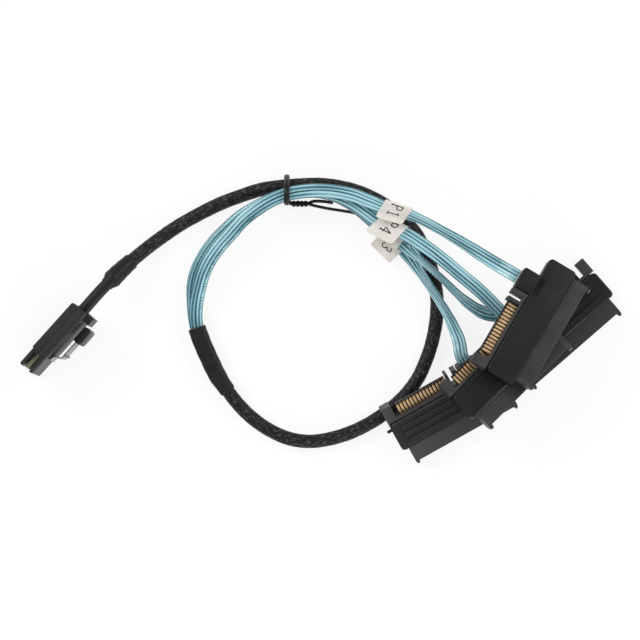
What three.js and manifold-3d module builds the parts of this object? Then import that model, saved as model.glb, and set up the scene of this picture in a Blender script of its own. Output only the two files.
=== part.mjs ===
// A breakout cable for a disk controller: a 36-way plug with a sprung latch, a braided cable, and
// eight flat ribbons in four labelled pairs, each pair ending in a moulded drive connector.
// Millimetres, +Z up. The cable lies on the plane z = 0, as it was photographed from above.
// The origin is under the middle of the box round the plug and the four connectors.
import * as THREE from "three";
import { mergeVertices } from "three/addons/utils/BufferGeometryUtils.js";
import Module from "manifold-3d";

// Clearances
const GAP = 0.3; // between pieces that touch
const SLIP = 0.15; // round a cable inside a shrunk tube

// Plug: x runs to its nose, y to its latch side, z along its width; it stands on one narrow edge.
const PLUG_LENGTH = 20.5;
const PLUG_THICKNESS = 6.2;
const PLUG_WIDTH = 21.6;
const PLUG_WALL = 1.4;
const PLUG_EDGE = 0.4;
const PLUG_CORNER = 0.8;
const NOSE_LENGTH = 6.8;
const NOSE_THICKNESS = 5.6;
const NOSE_WIDTH = 19.3;
const NOSE_WALL = 1.3;
const NOSE_NOTCH = 6.4; // how far back the nose is open along its narrow edges
const SPLIT_HEIGHT = 2.7; // where the two shells part, from the plain side
const CARD_THICKNESS = 1.2;
const CARD_SETBACK = 0.4; // from the tip of the nose
const SOLDER_BLOCK_LENGTH = 5.2;
const FINGER_STOP_LENGTH = 3.0;
const FINGER_STOP_WIDTH = 11.0;
const FINGER_STOP_HEIGHT = 2.4;
const PLUG_LEAN_DEG = 5.5;
const PLUG_PLACE = { x: -82.65, y: 18.6, heading: 228 };

// Latch: a steel leaf hinged at its front end, with a pad at its back end.
const LATCH_METAL = 0.5;
const LATCH_WIDTH = 9.6;
const LATCH_FRONT = 20.0;
const LATCH_BACK = 6.0;
const LATCH_STAND_OFF = 2.8; // of the leaf above the shell, at the back
const LATCH_FOOT = 1.6;
const HOOK_PLACE = 16.6;
const HOOK_HEIGHT = 0.9;
const HOOK_LENGTH = 1.6;
const HOOK_WIDTH = 1.8;
const PAD_LENGTH = 6.3;
const PAD_WIDTH = 11.2;
const PAD_THICKNESS = 3.0;
const PAD_GRIP = 3.6; // how much of the leaf the pad holds
const PAD_CHAMFER = 1.0;

// Cable and its shrunk tubes
const NECK_DIAMETER = 4.2;
const NECK_LENGTH = 15.6;
const SLEEVE_DIAMETER = 4.8;
const BOOT_WALL = 0.4;
const BOOT_START = 13.0; // along the cable from the inside of the plug
const BOOT_END = 25.2;
const SPLITTER_WALL = 0.5;
const SPLITTER_LENGTH = 24.4;
const SPLITTER_OVERLAP = 8.0; // over the sleeve
const SPLITTER_CORNER = 0.7; // cut off each corner of its bore

// Ribbons
const RIBBON_WIDTH = 2.2;
const RIBBON_THICKNESS = 1.0;
const RIBBON_EDGE = 0.3;
const PAIR_GAP = 0.14;
const ROW_GAP = 0.14;
const ENTRY_LEAD = 2.0; // straight run before a connector

// Labels: a flat wrap round a pair, with a tab on one side
const LABEL_LENGTH = 9.6;
const LABEL_FILM = 0.25;
const LABEL_ROOM = 0.35;
const LABEL_TAB = 2.2;
const TAB_THICKNESS = 0.5;

// Twist tie
const TIE_DIAMETER = 1.0;
const TIE_TWIST_RADIUS = 0.58;
const TIE_TURNS = 2.0;

// Drive connector: x runs along its length, y to the cable side, z up; its own base is z = 0.
const BLOCK_LENGTH = 44.0;
const BLOCK_DEPTH = 10.4;
const BLOCK_THICKNESS = 8.0;
const BLOCK_CORNER = 1.6;
const BLOCK_EDGE = 0.5;
const RIDGE_HEIGHT = 0.3;
const RIDGE_WIDTH = 1.1;
const RIDGE_PITCH = 2.6;
const RIDGE_COUNT = 3;
const RIDGE_MARGIN = 3.5;
const CABLE_BLOCK_START = 29.4;
const CABLE_BLOCK_LENGTH = 7.5;
const CABLE_BLOCK_DEPTH = 5.9;
const CABLE_BLOCK_CORNER = 0.9;
const HOUSING_THICKNESS = 6.0;
const DRIVE_LENGTH = 39.6;
const DRIVE_DEPTH = 5.6;
const DRIVE_TAIL = 2.0;
const DRIVE_SLOT_LENGTH = 34.4;
const DRIVE_SLOT_HEIGHT = 2.4;
const DRIVE_SLOT_DEPTH = 4.6;
const POST_WIDTH = 1.4;
const POST_LENGTH = 1.4;
const POST_HEIGHT = 3.6;
const CONTACT_STRIP_THICKNESS = 0.8;
const CONTACT_STRIP_DEPTH = 3.4;
const BOARD_LENGTH = 38.0;
const BOARD_THICKNESS = 1.0;

// Power plug on the back of a drive connector
const POWER_DEPTH = 6.0;
const POWER_BASE = 1.0;
const POWER_TAIL = 1.5;
const POWER_END_WALL = 3.6;
const POWER_KEY_WALL = 1.1;
const POWER_ARM_START = 27.3;
const TONGUE_MARGIN = 0.25; // beyond its outermost contacts
const TONGUE_REACH = 5.2;
const TONGUE_THICKNESS = 1.4;
const CONTACT_COUNT = 15;
const CONTACT_PITCH = 1.27;
const CONTACT_WIDTH = 0.8;
const CONTACT_LENGTH = 3.9;
const CONTACT_RISE = 0.15;
const CONTACT_FIRST = 5.5;

// Where the connectors lie: A and D on the table, B across A and D, C on B
const PLACE_A = { x: 21.9, y: -20.4, heading: 29.2 };
const PLACE_B = { x: 43.15, y: -13.05, heading: 44.9 };
const PLACE_C = { along: 13.85, back: -1.2, heading: 14.6 }; // in B's own frame
const PLACE_D = { right: -0.65, back: 0.5, heading: 221 }; // its near end from the far end of A, upside down
const SLEEVE_CROSSING = 2.5; // how far behind the block of A the sleeve passes under it
const RIDE_CLEARANCE = 0.5;

// The cable's route from the plug to the end of the splitter: x, y, z
const CABLE_ROUTE = [
  [-77.1, 21.7, 10.9],
  [-73.9, 25.2, 10.2],
  [-71.7, 27.4, 9.5],
  [-69.8, 29.4, 8.7],
  [-66.9, 32.2, 7.2],
  [-64, 34.8, 5.8],
  [-58.8, 39.1, 3.9],
  [-53.7, 42.9, 2.8],
  [-48.5, 46.4, 2.5],
  [-41.7, 50.2, 2.5],
  [-34.8, 53.6, 2.5],
  [-28, 56.2, 2.5],
  [-21.1, 58.4, 2.9],
  [-16.4, 59.2, 3.6],
  [-11.9, 59.7, 3.9],
  [-7.4, 60, 3.6],
  [-0.6, 60.2, 2.8],
  [6.2, 59.4, 2.5],
  [13.1, 57.5, 2.5],
  [19.9, 54.3, 2.5],
  [25.4, 50.5, 2.5],
  [29.5, 46.6, 2.5],
  [32.7, 42.7, 2.5],
  [36, 35.5, 2.5],
  [38.1, 29, 2.5],
  [39.3, 22.1, 2.5],
  [39.2, 14.6, 2.5],
  [37.8, 6.7, 2.5],
  [35.7, 0.2, 2.5],
  [32.8, -6.1, 2.5],
  [28.5, -11.8, 2.5],
  [22.7, -17.1, 2.5],
  [16.5, -21.3, 2.5],
  [9.7, -24.6, 2.5],
  [2.8, -26.7, 2.5],
  [-4, -27.6, 2.5],
  [-10.9, -26.7, 2.5],
  [-17.7, -23.8, 2.5],
  [-23.9, -19.5, 2.5],
  [-28.7, -14.7, 2.8],
  [-32.6, -9.6, 3.1],
  [-35.5, -5.3, 3.1],
  [-38.3, 0.4, 3.1],
  [-40.5, 5.3, 3.1],
  [-41.7, 8.4, 3.1],
  [-42.7, 11.3, 3.1],
];

// The bundle of four rows from the splitter to the tie: x, y, rise of its lowest row, spread of the rows
const BUNDLE_ROUTE = [
  [-40.5, 5.3, 0, 0],
  [-41.7, 8.4, 0, 0],
  [-42.7, 11.3, 0, 0],
  [-43.3, 16, 0.2, 0.2],
  [-43.2, 20.8, 0.7, 0.5],
  [-42.6, 25.6, 1.4, 0.9],
  [-41.3, 30.4, 2.2, 1],
  [-39, 35, 3, 1],
  [-35.9, 39.4, 3.8, 1],
  [-31.9, 43.7, 4.5, 0.9],
  [-27.3, 48.3, 5, 0.6],
  [-22.2, 51.9, 5.3, 0.3],
  [-17, 54.8, 5.5, 0.1],
  [-11.9, 56.7, 5.5, 0],
  [-6.4, 57.7, 5.5, 0],
];
const SPLITTER_AXIS_HEIGHT = 3.1;

// Each pair: its row in the bundle, its sideways spread there, and its own route on from the tie:
// x, y, z and the lean of the pair in degrees, left side up.
const PAIRS = {
  P3: {
    row: 0,
    spread: 1.2,
    labelFrom: 103.4,
    connector: "A",
    route: [
      [-1.3, 57.8, 6.95, 0],
      [4.5, 56.4, 6.4, 0],
      [9.7, 53.9, 5.4, 0],
      [13.8, 50.9, 4.4, 0],
      [17.6, 47.6, 3.7, 0],
      [21.3, 44.2, 3.4, 0],
      [25.4, 40.4, 3.4, 0],
      [28.9, 36.9, 3.4, 8],
      [31.6, 33.4, 3.5, 28],
      [34.3, 29.3, 4.9, 50],
      [37.1, 25, 6.9, 55],
      [39.8, 20.7, 7.6, 55],
      [42.7, 15.9, 7.9, 50],
      [45, 11.2, 8.3, 35],
      [46.7, 6.6, 9.1, 14],
    ],
  },
  P2: {
    row: 1,
    spread: -0.8,
    labelFrom: 101.2,
    connector: "D",
    route: [
      [-1.3, 57.8, 8.1, 0],
      [4.5, 56.5, 7.8, 0],
      [9.7, 54.1, 7.3, 0],
      [13.8, 51.2, 6.8, 0],
      [17.9, 47.6, 6.4, 0],
      [21.3, 44.7, 6.2, 0],
      [25.1, 41.8, 6.2, 0],
      [28.5, 39.2, 6.2, 0],
      [31.2, 36.8, 7.2, 40],
      [34, 34.3, 7.8, 65],
      [37.4, 31.2, 7.9, 65],
      [41.2, 27.8, 7.3, 65],
      [45.8, 23.3, 6.4, 60],
      [51.1, 18.8, 5.1, 38],
      [56, 16.1, 4.3, 12],
    ],
  },
  P4: {
    row: 2,
    spread: 0.8,
    labelFrom: 101,
    connector: "B",
    route: [
      [-1.3, 57.8, 9.25, 0],
      [4.5, 56.6, 9.2, 0],
      [9.7, 54.5, 9.1, 0],
      [13.8, 51.9, 9, 0],
      [18.2, 48.6, 9, 0],
      [23.4, 45.8, 9, 0],
      [28.2, 43.4, 9.1, 0],
      [33.6, 40, 9.8, 0],
      [40.5, 34.9, 10.7, 0],
      [47.3, 29.2, 11.7, 0],
      [54.2, 23.3, 12.8, 0],
    ],
  },
  P1: {
    row: 3,
    spread: -0.2,
    labelFrom: 99.7,
    connector: "C",
    route: [
      [-1.3, 58, 10.4, 0],
      [4.5, 57.6, 10.6, 0],
      [10.4, 56.4, 11.2, 0],
      [15.8, 54.4, 12.1, 15],
      [19.9, 52.8, 12.9, 30],
      [24.4, 51.3, 13.4, 30],
      [28.5, 50.1, 13.7, 38],
      [33.6, 48, 13.9, 50],
      [40.5, 44.3, 14.7, 50],
      [47.3, 40.3, 15.6, 40],
      [54.2, 35.9, 16.7, 22],
      [60.2, 32.1, 18.2, 8],
    ],
  },
};

// The tie: its first tail, the loop round sleeve and ribbons, and its second tail
const TIE_TAIL_UPPER = [
  [3.9, 53.9, 4.6],
  [0.2, 54.4, 4.4],
  [-2.8, 54.4, 4.3],
];
const TIE_TWIST = { from: [-4.8, 53.6, 4], to: [-10.2, 53.6, 4.6] };
const TIE_LOOP = [
  [-11.7, 53.7, 6.2],
  [-11.9, 53.4, 8.6],
  [-11.9, 53.9, 11.3],
  [-11.9, 56.8, 12.3],
  [-11.9, 59.5, 10.9],
  [-11.9, 61.9, 7.9],
  [-11.9, 63.1, 4.6],
  [-11.9, 62.2, 1.7],
  [-11.9, 59.8, 0.6],
  [-11.8, 57.1, 1.2],
  [-11.6, 54.7, 2.9],
];
const TIE_TAIL_LOWER = [
  [-2.2, 52.9, 3.3],
  [2.8, 51.9, 2.6],
  [8, 51.1, 2.0],
  [11.8, 50.4, 1.6],
];

const SECTION_SIDES = 10;
const CABLE_STEPS = { neck: 6, boot: 8, sleeve: 44, splitter: 8 };
const RIBBON_STEPS = 34;
const LABEL_STEPS = 4;
const TIE_SIDES = 6;
const TIE_STEPS = 84;
const UP = new THREE.Vector3(0, 0, 1);

const wasm = await Module();
wasm.setup();

// Closed solids, and geometry made from them

function solid(geometry) {
  const bare = geometry.clone();
  bare.deleteAttribute("normal");
  bare.deleteAttribute("uv");
  const merged = mergeVertices(bare, 1e-4);
  return new wasm.Manifold(
    new wasm.Mesh({
      numProp: 3,
      vertProperties: merged.attributes.position.array,
      triVerts: new Uint32Array(merged.index.array),
    }),
  );
}

function geometryOf(made) {
  const mesh = made.getMesh();
  const geometry = new THREE.BufferGeometry();
  geometry.setAttribute("position", new THREE.BufferAttribute(mesh.vertProperties, mesh.numProp));
  geometry.setIndex(new THREE.BufferAttribute(mesh.triVerts, 1));
  geometry.computeVertexNormals();
  return geometry;
}

const join = (first, ...others) => others.reduce((made, other) => made.add(other), first);

const cut = (first, ...others) => others.reduce((made, other) => made.subtract(other), first);

// A block from its lowest corner to its highest
function block([x0, y0, z0], [x1, y1, z1]) {
  const box = new THREE.BoxGeometry(x1 - x0, y1 - y0, z1 - z0);
  return solid(box.translate((x0 + x1) / 2, (y0 + y1) / 2, (z0 + z1) / 2));
}

// An outline in x and y, raised from z0 to z1, with its edges eased
function slab(outline, z0, z1, edge = 0) {
  return new THREE.ExtrudeGeometry(outline, {
    depth: z1 - z0 - 2 * edge,
    curveSegments: 4,
    bevelEnabled: edge > 0,
    bevelThickness: edge,
    bevelSize: edge,
    bevelOffset: -edge,
    bevelSegments: 1,
  }).translate(0, 0, z0 + edge);
}

// A polygon with each corner rounded by its own radius: points are x, y, radius
function roundedOutline(points) {
  const outline = new THREE.Shape();
  points.forEach(([x, y, radius], i) => {
    const [px, py] = points[(i + points.length - 1) % points.length];
    const [nx, ny] = points[(i + 1) % points.length];
    const back = radius / Math.hypot(px - x, py - y);
    const on = radius / Math.hypot(nx - x, ny - y);
    const start = [x + (px - x) * back, y + (py - y) * back];
    if (i === 0) outline.moveTo(...start);
    else outline.lineTo(...start);
    if (radius > 0) outline.quadraticCurveTo(x, y, x + (nx - x) * on, y + (ny - y) * on);
  });
  return outline;
}

function mesh(name, geometry, material) {
  const made = new THREE.Mesh(geometry, material);
  made.name = name;
  return made;
}

// Materials

const finish = (color, roughness, metalness) =>
  new THREE.MeshStandardMaterial({ color, roughness, metalness });
const blackMoulding = () => finish(0x242221, 0.55, 0);
const greyHousing = () => finish(0x4d4b49, 0.5, 0);
const plugPlastic = () => finish(0x35322f, 0.5, 0);
const shrinkTube = () => finish(0x1f1d1c, 0.45, 0);
const braid = () => finish(0x262423, 0.7, 0);
const tealJacket = () => finish(0x7fbfc9, 0.3, 0);
const labelFilm = () => finish(0xded6cc, 0.6, 0);
const tiePlastic = () => finish(0x1c1b1b, 0.4, 0);
const springSteel = () => finish(0xc8c8c3, 0.3, 1);
const goldContact = () => finish(0xe1b482, 0.35, 0.7);
const boardLaminate = () => finish(0x5d6b52, 0.6, 0);
const hotMelt = () => finish(0x3a3633, 0.6, 0);

// Curves that carry a section upright, or leaning, along a route

class LaidCurve extends THREE.Curve {
  // A stretch of a route between two distances along it. The section keeps its top up,
  // and lies `side` to the right across a pair that leans.
  constructor(route, from, to, side = 0) {
    super();
    this.route = route;
    this.start = from / route.length;
    this.end = to / route.length;
    this.side = side;
  }

  axesAt(t) {
    const u = THREE.MathUtils.lerp(this.start, this.end, t);
    const tangent = this.route.curve.getTangentAt(u);
    const right = new THREE.Vector3().crossVectors(tangent, UP).normalize();
    const lean = this.route.leanAt(u);
    right.applyAxisAngle(tangent, lean);
    const top = new THREE.Vector3().crossVectors(right, tangent);
    return { centre: this.route.curve.getPointAt(u), tangent, right, top };
  }

  getPoint(t, target = new THREE.Vector3()) {
    const { centre, right } = this.axesAt(t);
    return target.copy(centre).addScaledVector(right, this.side);
  }

  computeFrenetFrames(segments) {
    const frames = { tangents: [], normals: [], binormals: [] };
    for (let i = 0; i <= segments; i++) {
      const { tangent, right, top } = this.axesAt(this.getUtoTmapping(i / segments));
      frames.tangents.push(tangent);
      frames.normals.push(top);
      frames.binormals.push(right);
    }
    return frames;
  }
}

// A route through points of x, y, z and, for a pair, its lean in degrees
function routeThrough(points) {
  const places = points.map(([x, y, z]) => new THREE.Vector3(x, y, z));
  const curve = new THREE.CatmullRomCurve3(places, false, "centripetal");
  curve.arcLengthDivisions = 20 * points.length;
  const leans = points.map((point) => THREE.MathUtils.degToRad(point[3] ?? 0));
  const leanAt = (u) => {
    const at = curve.getUtoTmapping(u) * (points.length - 1);
    const i = Math.min(Math.floor(at), points.length - 2);
    return THREE.MathUtils.lerp(leans[i], leans[i + 1], THREE.MathUtils.smoothstep(at - i, 0, 1));
  };
  return { curve, leanAt, length: curve.getLength() };
}

const along = (section, path, steps) =>
  new THREE.ExtrudeGeometry(section, { extrudePath: path, steps, curveSegments: 1 });

function polygon(corners, Kind = THREE.Shape) {
  return new Kind(corners.map(([x, y]) => new THREE.Vector2(x, y)));
}

function circleCorners(radius, sides) {
  return Array.from({ length: sides }, (_, i) => {
    const angle = ((i + 0.5) * 2 * Math.PI) / sides;
    return [radius * Math.cos(angle), radius * Math.sin(angle)];
  });
}

// A rectangle with its corners cut at 45 degrees: height lies along x, width along y
function easedRectangle(height, width, edge) {
  const h = height / 2;
  const w = width / 2;
  return [
    [h, edge - w],
    [h, w - edge],
    [h - edge, w],
    [edge - h, w],
    [-h, w - edge],
    [-h, edge - w],
    [edge - h, -w],
    [h - edge, -w],
  ];
}

const roundSection = (diameter) => polygon(circleCorners(diameter / 2, SECTION_SIDES));

function ringSection(outer, inner) {
  const section = polygon(outer);
  section.holes.push(polygon(inner, THREE.Path));
  return section;
}

// Plug

function plugShells() {
  const mid = PLUG_WIDTH / 2;
  const noseSide = (PLUG_THICKNESS - NOSE_THICKNESS) / 2;
  const noseTip = PLUG_LENGTH + NOSE_LENGTH;
  const body = solid(
    slab(
      roundedOutline([
        [0, 0, PLUG_CORNER],
        [PLUG_LENGTH, 0, PLUG_CORNER],
        [PLUG_LENGTH, PLUG_THICKNESS, PLUG_CORNER],
        [0, PLUG_THICKNESS, PLUG_CORNER],
      ]),
      0,
      PLUG_WIDTH,
      PLUG_EDGE,
    ),
  );
  const nose = solid(
    slab(
      roundedOutline([
        [PLUG_LENGTH - PLUG_WALL, noseSide, 0],
        [noseTip, noseSide, PLUG_CORNER],
        [noseTip, PLUG_THICKNESS - noseSide, PLUG_CORNER],
        [PLUG_LENGTH - PLUG_WALL, PLUG_THICKNESS - noseSide, 0],
      ]),
      mid - NOSE_WIDTH / 2,
      mid + NOSE_WIDTH / 2,
      PLUG_EDGE,
    ),
  );
  const stop = block(
    [-PLUG_EDGE, PLUG_THICKNESS - PLUG_WALL, mid - FINGER_STOP_WIDTH / 2],
    [FINGER_STOP_LENGTH - PLUG_EDGE, PLUG_THICKNESS + FINGER_STOP_HEIGHT, mid + FINGER_STOP_WIDTH / 2],
  );
  const wiring = block(
    [PLUG_WALL, PLUG_WALL, PLUG_WALL],
    [wiringEnd(), PLUG_THICKNESS - PLUG_WALL, PLUG_WIDTH - PLUG_WALL],
  );
  const cardSlot = block(
    [PLUG_WALL, cardSide() - GAP, mid - cardWidth() / 2 - GAP],
    [noseTip, cardSide() + CARD_THICKNESS + GAP, mid + cardWidth() / 2 + GAP],
  );
  const mouth = block(
    [PLUG_LENGTH, noseSide + NOSE_WALL, mid - NOSE_WIDTH / 2 + NOSE_WALL],
    [noseTip + PLUG_WALL, PLUG_THICKNESS - noseSide - NOSE_WALL, mid + NOSE_WIDTH / 2 - NOSE_WALL],
  );
  const notch = block(
    [noseTip - NOSE_NOTCH, noseSide + NOSE_WALL, -PLUG_WALL],
    [noseTip + PLUG_WALL, PLUG_THICKNESS - noseSide - NOSE_WALL, PLUG_WIDTH + PLUG_WALL],
  );
  const cableHole = new THREE.CylinderGeometry(neckHoleRadius(), neckHoleRadius(), 4 * PLUG_WALL, 16);
  cableHole.rotateZ(Math.PI / 2).translate(0, neckSide(), mid);
  const whole = cut(join(body, nose, stop), wiring, cardSlot, mouth, notch, solid(cableHole));
  const lower = block([-PLUG_LENGTH, -PLUG_WIDTH, 0], [2 * noseTip, SPLIT_HEIGHT, PLUG_WIDTH]);
  const upper = block(
    [-PLUG_LENGTH, SPLIT_HEIGHT + GAP, 0],
    [2 * noseTip, PLUG_THICKNESS + PLUG_WIDTH, PLUG_WIDTH],
  );
  return [
    mesh("plug_back_shell", geometryOf(whole.intersect(lower)), plugPlastic()),
    mesh("plug_latch_shell", geometryOf(whole.intersect(upper)), plugPlastic()),
  ];
}

const cardWidth = () => NOSE_WIDTH - 2 * NOSE_WALL - 2 * GAP;
const cardSide = () => (PLUG_THICKNESS - CARD_THICKNESS) / 2;
const neckSide = () => PLUG_THICKNESS / 2;
const neckHoleRadius = () => NECK_DIAMETER / 2 + GAP;
const neckStart = () => PLUG_WALL - GAP;
const wiringEnd = () => PLUG_WALL + SOLDER_BLOCK_LENGTH + 2 * GAP;

function plugCard() {
  const mid = PLUG_WIDTH / 2;
  const card = block(
    [wiringEnd(), cardSide(), mid - cardWidth() / 2],
    [PLUG_LENGTH + NOSE_LENGTH - CARD_SETBACK, cardSide() + CARD_THICKNESS, mid + cardWidth() / 2],
  );
  return mesh("paddle_card", geometryOf(card), boardLaminate());
}

function solderBlock() {
  const made = block(
    [PLUG_WALL + GAP, PLUG_WALL + GAP, PLUG_WALL + GAP],
    [wiringEnd() - GAP, PLUG_THICKNESS - PLUG_WALL - GAP, PLUG_WIDTH - PLUG_WALL - GAP],
  );
  return mesh("solder_block", geometryOf(made), hotMelt());
}

// The leaf's side outline: a foot at the front, rising to the pad at the back
function latchLeaf() {
  const seat = PLUG_THICKNESS + GAP;
  const back = PLUG_THICKNESS + LATCH_STAND_OFF;
  const leaf = polygon([
    [LATCH_FRONT, seat],
    [LATCH_FRONT, seat + LATCH_METAL],
    [LATCH_FRONT - LATCH_FOOT, seat + LATCH_METAL],
    [HOOK_PLACE, back + LATCH_METAL],
    [LATCH_BACK, back + LATCH_METAL],
    [LATCH_BACK, back],
    [HOOK_PLACE, back],
    [LATCH_FRONT - LATCH_FOOT, seat],
  ]);
  const middle = PLUG_WIDTH / 2;
  const sheet = solid(slab(leaf, middle - LATCH_WIDTH / 2, middle + LATCH_WIDTH / 2));
  const hook = polygon([
    [HOOK_PLACE, back],
    [HOOK_PLACE - HOOK_LENGTH, back + LATCH_METAL + HOOK_HEIGHT],
    [HOOK_PLACE - HOOK_LENGTH, back],
  ]);
  const hooks = [-1, 1].map((side) => {
    const centre = middle + (side * (LATCH_WIDTH - HOOK_WIDTH)) / 2;
    return solid(slab(hook, centre - HOOK_WIDTH / 2, centre + HOOK_WIDTH / 2));
  });
  return mesh("latch_leaf", geometryOf(join(sheet, ...hooks)), springSteel());
}

function releasePad() {
  const back = PLUG_THICKNESS + LATCH_STAND_OFF;
  const middle = PLUG_WIDTH / 2;
  const low = back + LATCH_METAL / 2 - PAD_THICKNESS / 2 + GAP;
  const high = low + PAD_THICKNESS;
  const start = LATCH_BACK + PAD_GRIP - PAD_LENGTH;
  const outline = roundedOutline([
    [start, low, PLUG_CORNER],
    [start + PAD_LENGTH, low, PLUG_CORNER],
    [start + PAD_LENGTH, high, PAD_CHAMFER],
    [start, high, PAD_CHAMFER],
  ]);
  const pad = solid(slab(outline, middle - PAD_WIDTH / 2, middle + PAD_WIDTH / 2, PLUG_EDGE));
  const slot = block(
    [LATCH_BACK - GAP, back - GAP, middle - LATCH_WIDTH / 2 - GAP],
    [start + 2 * PAD_LENGTH, back + LATCH_METAL + GAP, middle + LATCH_WIDTH / 2 + GAP],
  );
  return mesh("release_pad", geometryOf(cut(pad, slot)), plugPlastic());
}

function plug() {
  const group = new THREE.Group();
  group.add(...plugShells(), plugCard(), solderBlock(), latchLeaf(), releasePad());
  group.position.set(PLUG_PLACE.x, PLUG_PLACE.y, 0);
  group.rotation.set(
    THREE.MathUtils.degToRad(PLUG_LEAN_DEG),
    0,
    THREE.MathUtils.degToRad(PLUG_PLACE.heading),
    "ZYX",
  );
  group.updateMatrixWorld(true);
  return group;
}

// Drive connector

const housingBase = () => (BLOCK_THICKNESS - HOUSING_THICKNESS) / 2;
const housingTop = () => housingBase() + HOUSING_THICKNESS;
const driveStart = () => (BLOCK_LENGTH - DRIVE_LENGTH) / 2;
const powerEnd = () => CABLE_BLOCK_START - GAP;
const cableBlockEnd = () => CABLE_BLOCK_START + CABLE_BLOCK_LENGTH;
const tongueStart = () => CONTACT_FIRST - TONGUE_MARGIN;
const tongueEnd = () =>
  CONTACT_FIRST + (CONTACT_COUNT - 1) * CONTACT_PITCH + CONTACT_WIDTH + TONGUE_MARGIN;
const tongueBase = () => (BLOCK_THICKNESS - TONGUE_THICKNESS) / 2;
const boardBase = () => (BLOCK_THICKNESS - BOARD_THICKNESS) / 2;

function overmould() {
  const mainOutline = roundedOutline([
    [0, -BLOCK_DEPTH, BLOCK_CORNER],
    [BLOCK_LENGTH, -BLOCK_DEPTH, BLOCK_CORNER],
    [BLOCK_LENGTH, 0, BLOCK_CORNER],
    [0, 0, BLOCK_CORNER],
  ]);
  const cableOutline = roundedOutline([
    [CABLE_BLOCK_START, -BLOCK_CORNER, 0],
    [cableBlockEnd(), -BLOCK_CORNER, 0],
    [cableBlockEnd(), CABLE_BLOCK_DEPTH, CABLE_BLOCK_CORNER],
    [CABLE_BLOCK_START, CABLE_BLOCK_DEPTH, CABLE_BLOCK_CORNER],
  ]);
  const [main, cableBlock] = [mainOutline, cableOutline].map((outline) =>
    solid(slab(outline, RIDGE_HEIGHT, BLOCK_THICKNESS - RIDGE_HEIGHT, BLOCK_EDGE)),
  );
  const ridges = Array.from({ length: RIDGE_COUNT }, (_, i) => {
    const y = -BLOCK_DEPTH / 2 + (i - (RIDGE_COUNT - 1) / 2) * RIDGE_PITCH;
    return block(
      [RIDGE_MARGIN, y - RIDGE_WIDTH / 2, 0],
      [BLOCK_LENGTH - RIDGE_MARGIN, y + RIDGE_WIDTH / 2, BLOCK_THICKNESS],
    );
  });
  const drivePocket = block(
    [driveStart() - GAP, -2 * BLOCK_DEPTH, housingBase() - GAP],
    [driveStart() + DRIVE_LENGTH + GAP, DRIVE_TAIL + GAP - BLOCK_DEPTH, housingTop() + GAP],
  );
  const powerPocket = block(
    [POWER_END_WALL / 2 - GAP, -POWER_TAIL - GAP, housingBase() + POWER_BASE - GAP],
    [powerEnd() - POWER_BASE + GAP, CABLE_BLOCK_DEPTH, housingTop() - POWER_BASE + GAP],
  );
  const boardSlot = block(
    [(BLOCK_LENGTH - BOARD_LENGTH) / 2 - GAP, -BLOCK_DEPTH, boardBase() - GAP],
    [(BLOCK_LENGTH + BOARD_LENGTH) / 2 + GAP, -POWER_TAIL, boardBase() + BOARD_THICKNESS + GAP],
  );
  return cut(join(main, cableBlock, ...ridges), drivePocket, powerPocket, boardSlot);
}

function driveHousing() {
  const start = driveStart();
  const end = start + DRIVE_LENGTH;
  const face = -BLOCK_DEPTH - DRIVE_DEPTH;
  const middle = BLOCK_THICKNESS / 2;
  const body = block([start, face, housingBase()], [end, DRIVE_TAIL - BLOCK_DEPTH, housingTop()]);
  const slotStart = (BLOCK_LENGTH - DRIVE_SLOT_LENGTH) / 2;
  const slot = block(
    [slotStart, 2 * face, middle - DRIVE_SLOT_HEIGHT / 2],
    [slotStart + DRIVE_SLOT_LENGTH, face + DRIVE_SLOT_DEPTH, middle + DRIVE_SLOT_HEIGHT / 2],
  );
  const posts = [start, end - POST_WIDTH].map((x) => {
    const outline = polygon([
      [x, face + POST_LENGTH],
      [x, face - POST_LENGTH / 2],
      [x + POST_WIDTH / 3, face - POST_LENGTH],
      [x + (POST_WIDTH * 2) / 3, face - POST_LENGTH],
      [x + POST_WIDTH, face - POST_LENGTH / 2],
      [x + POST_WIDTH, face + POST_LENGTH],
    ]);
    return solid(slab(outline, middle - POST_HEIGHT / 2, middle + POST_HEIGHT / 2));
  });
  return join(cut(body, slot), ...posts);
}

function driveContacts() {
  const back = DRIVE_SLOT_DEPTH - BLOCK_DEPTH - DRIVE_DEPTH - GAP;
  const slotStart = (BLOCK_LENGTH - DRIVE_SLOT_LENGTH) / 2;
  const top = BLOCK_THICKNESS / 2 + DRIVE_SLOT_HEIGHT / 2 - GAP;
  return block(
    [slotStart + GAP, back - CONTACT_STRIP_DEPTH, top - CONTACT_STRIP_THICKNESS],
    [slotStart + DRIVE_SLOT_LENGTH - GAP, back, top],
  );
}

function powerHousing() {
  const low = housingBase();
  const high = housingTop();
  const wall = (x0, x1) => block([x0, GAP, low], [x1, POWER_DEPTH, high]);
  const base = block([0, GAP, low], [powerEnd(), GAP + POWER_BASE, high]);
  const tail = block(
    [POWER_END_WALL / 2, -POWER_TAIL, low + POWER_BASE],
    [powerEnd() - POWER_BASE, 2 * GAP, high - POWER_BASE],
  );
  const tongueWay = block(
    [tongueStart() - GAP, -BLOCK_DEPTH, tongueBase() - GAP],
    [tongueEnd() + GAP, POWER_DEPTH, tongueBase() + TONGUE_THICKNESS + GAP],
  );
  const keyWall = wall(tongueEnd() + GAP, tongueEnd() + GAP + POWER_KEY_WALL);
  const solidHousing = join(base, tail, wall(0, POWER_END_WALL), keyWall, wall(POWER_ARM_START, powerEnd()));
  return cut(solidHousing, tongueWay);
}

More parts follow.
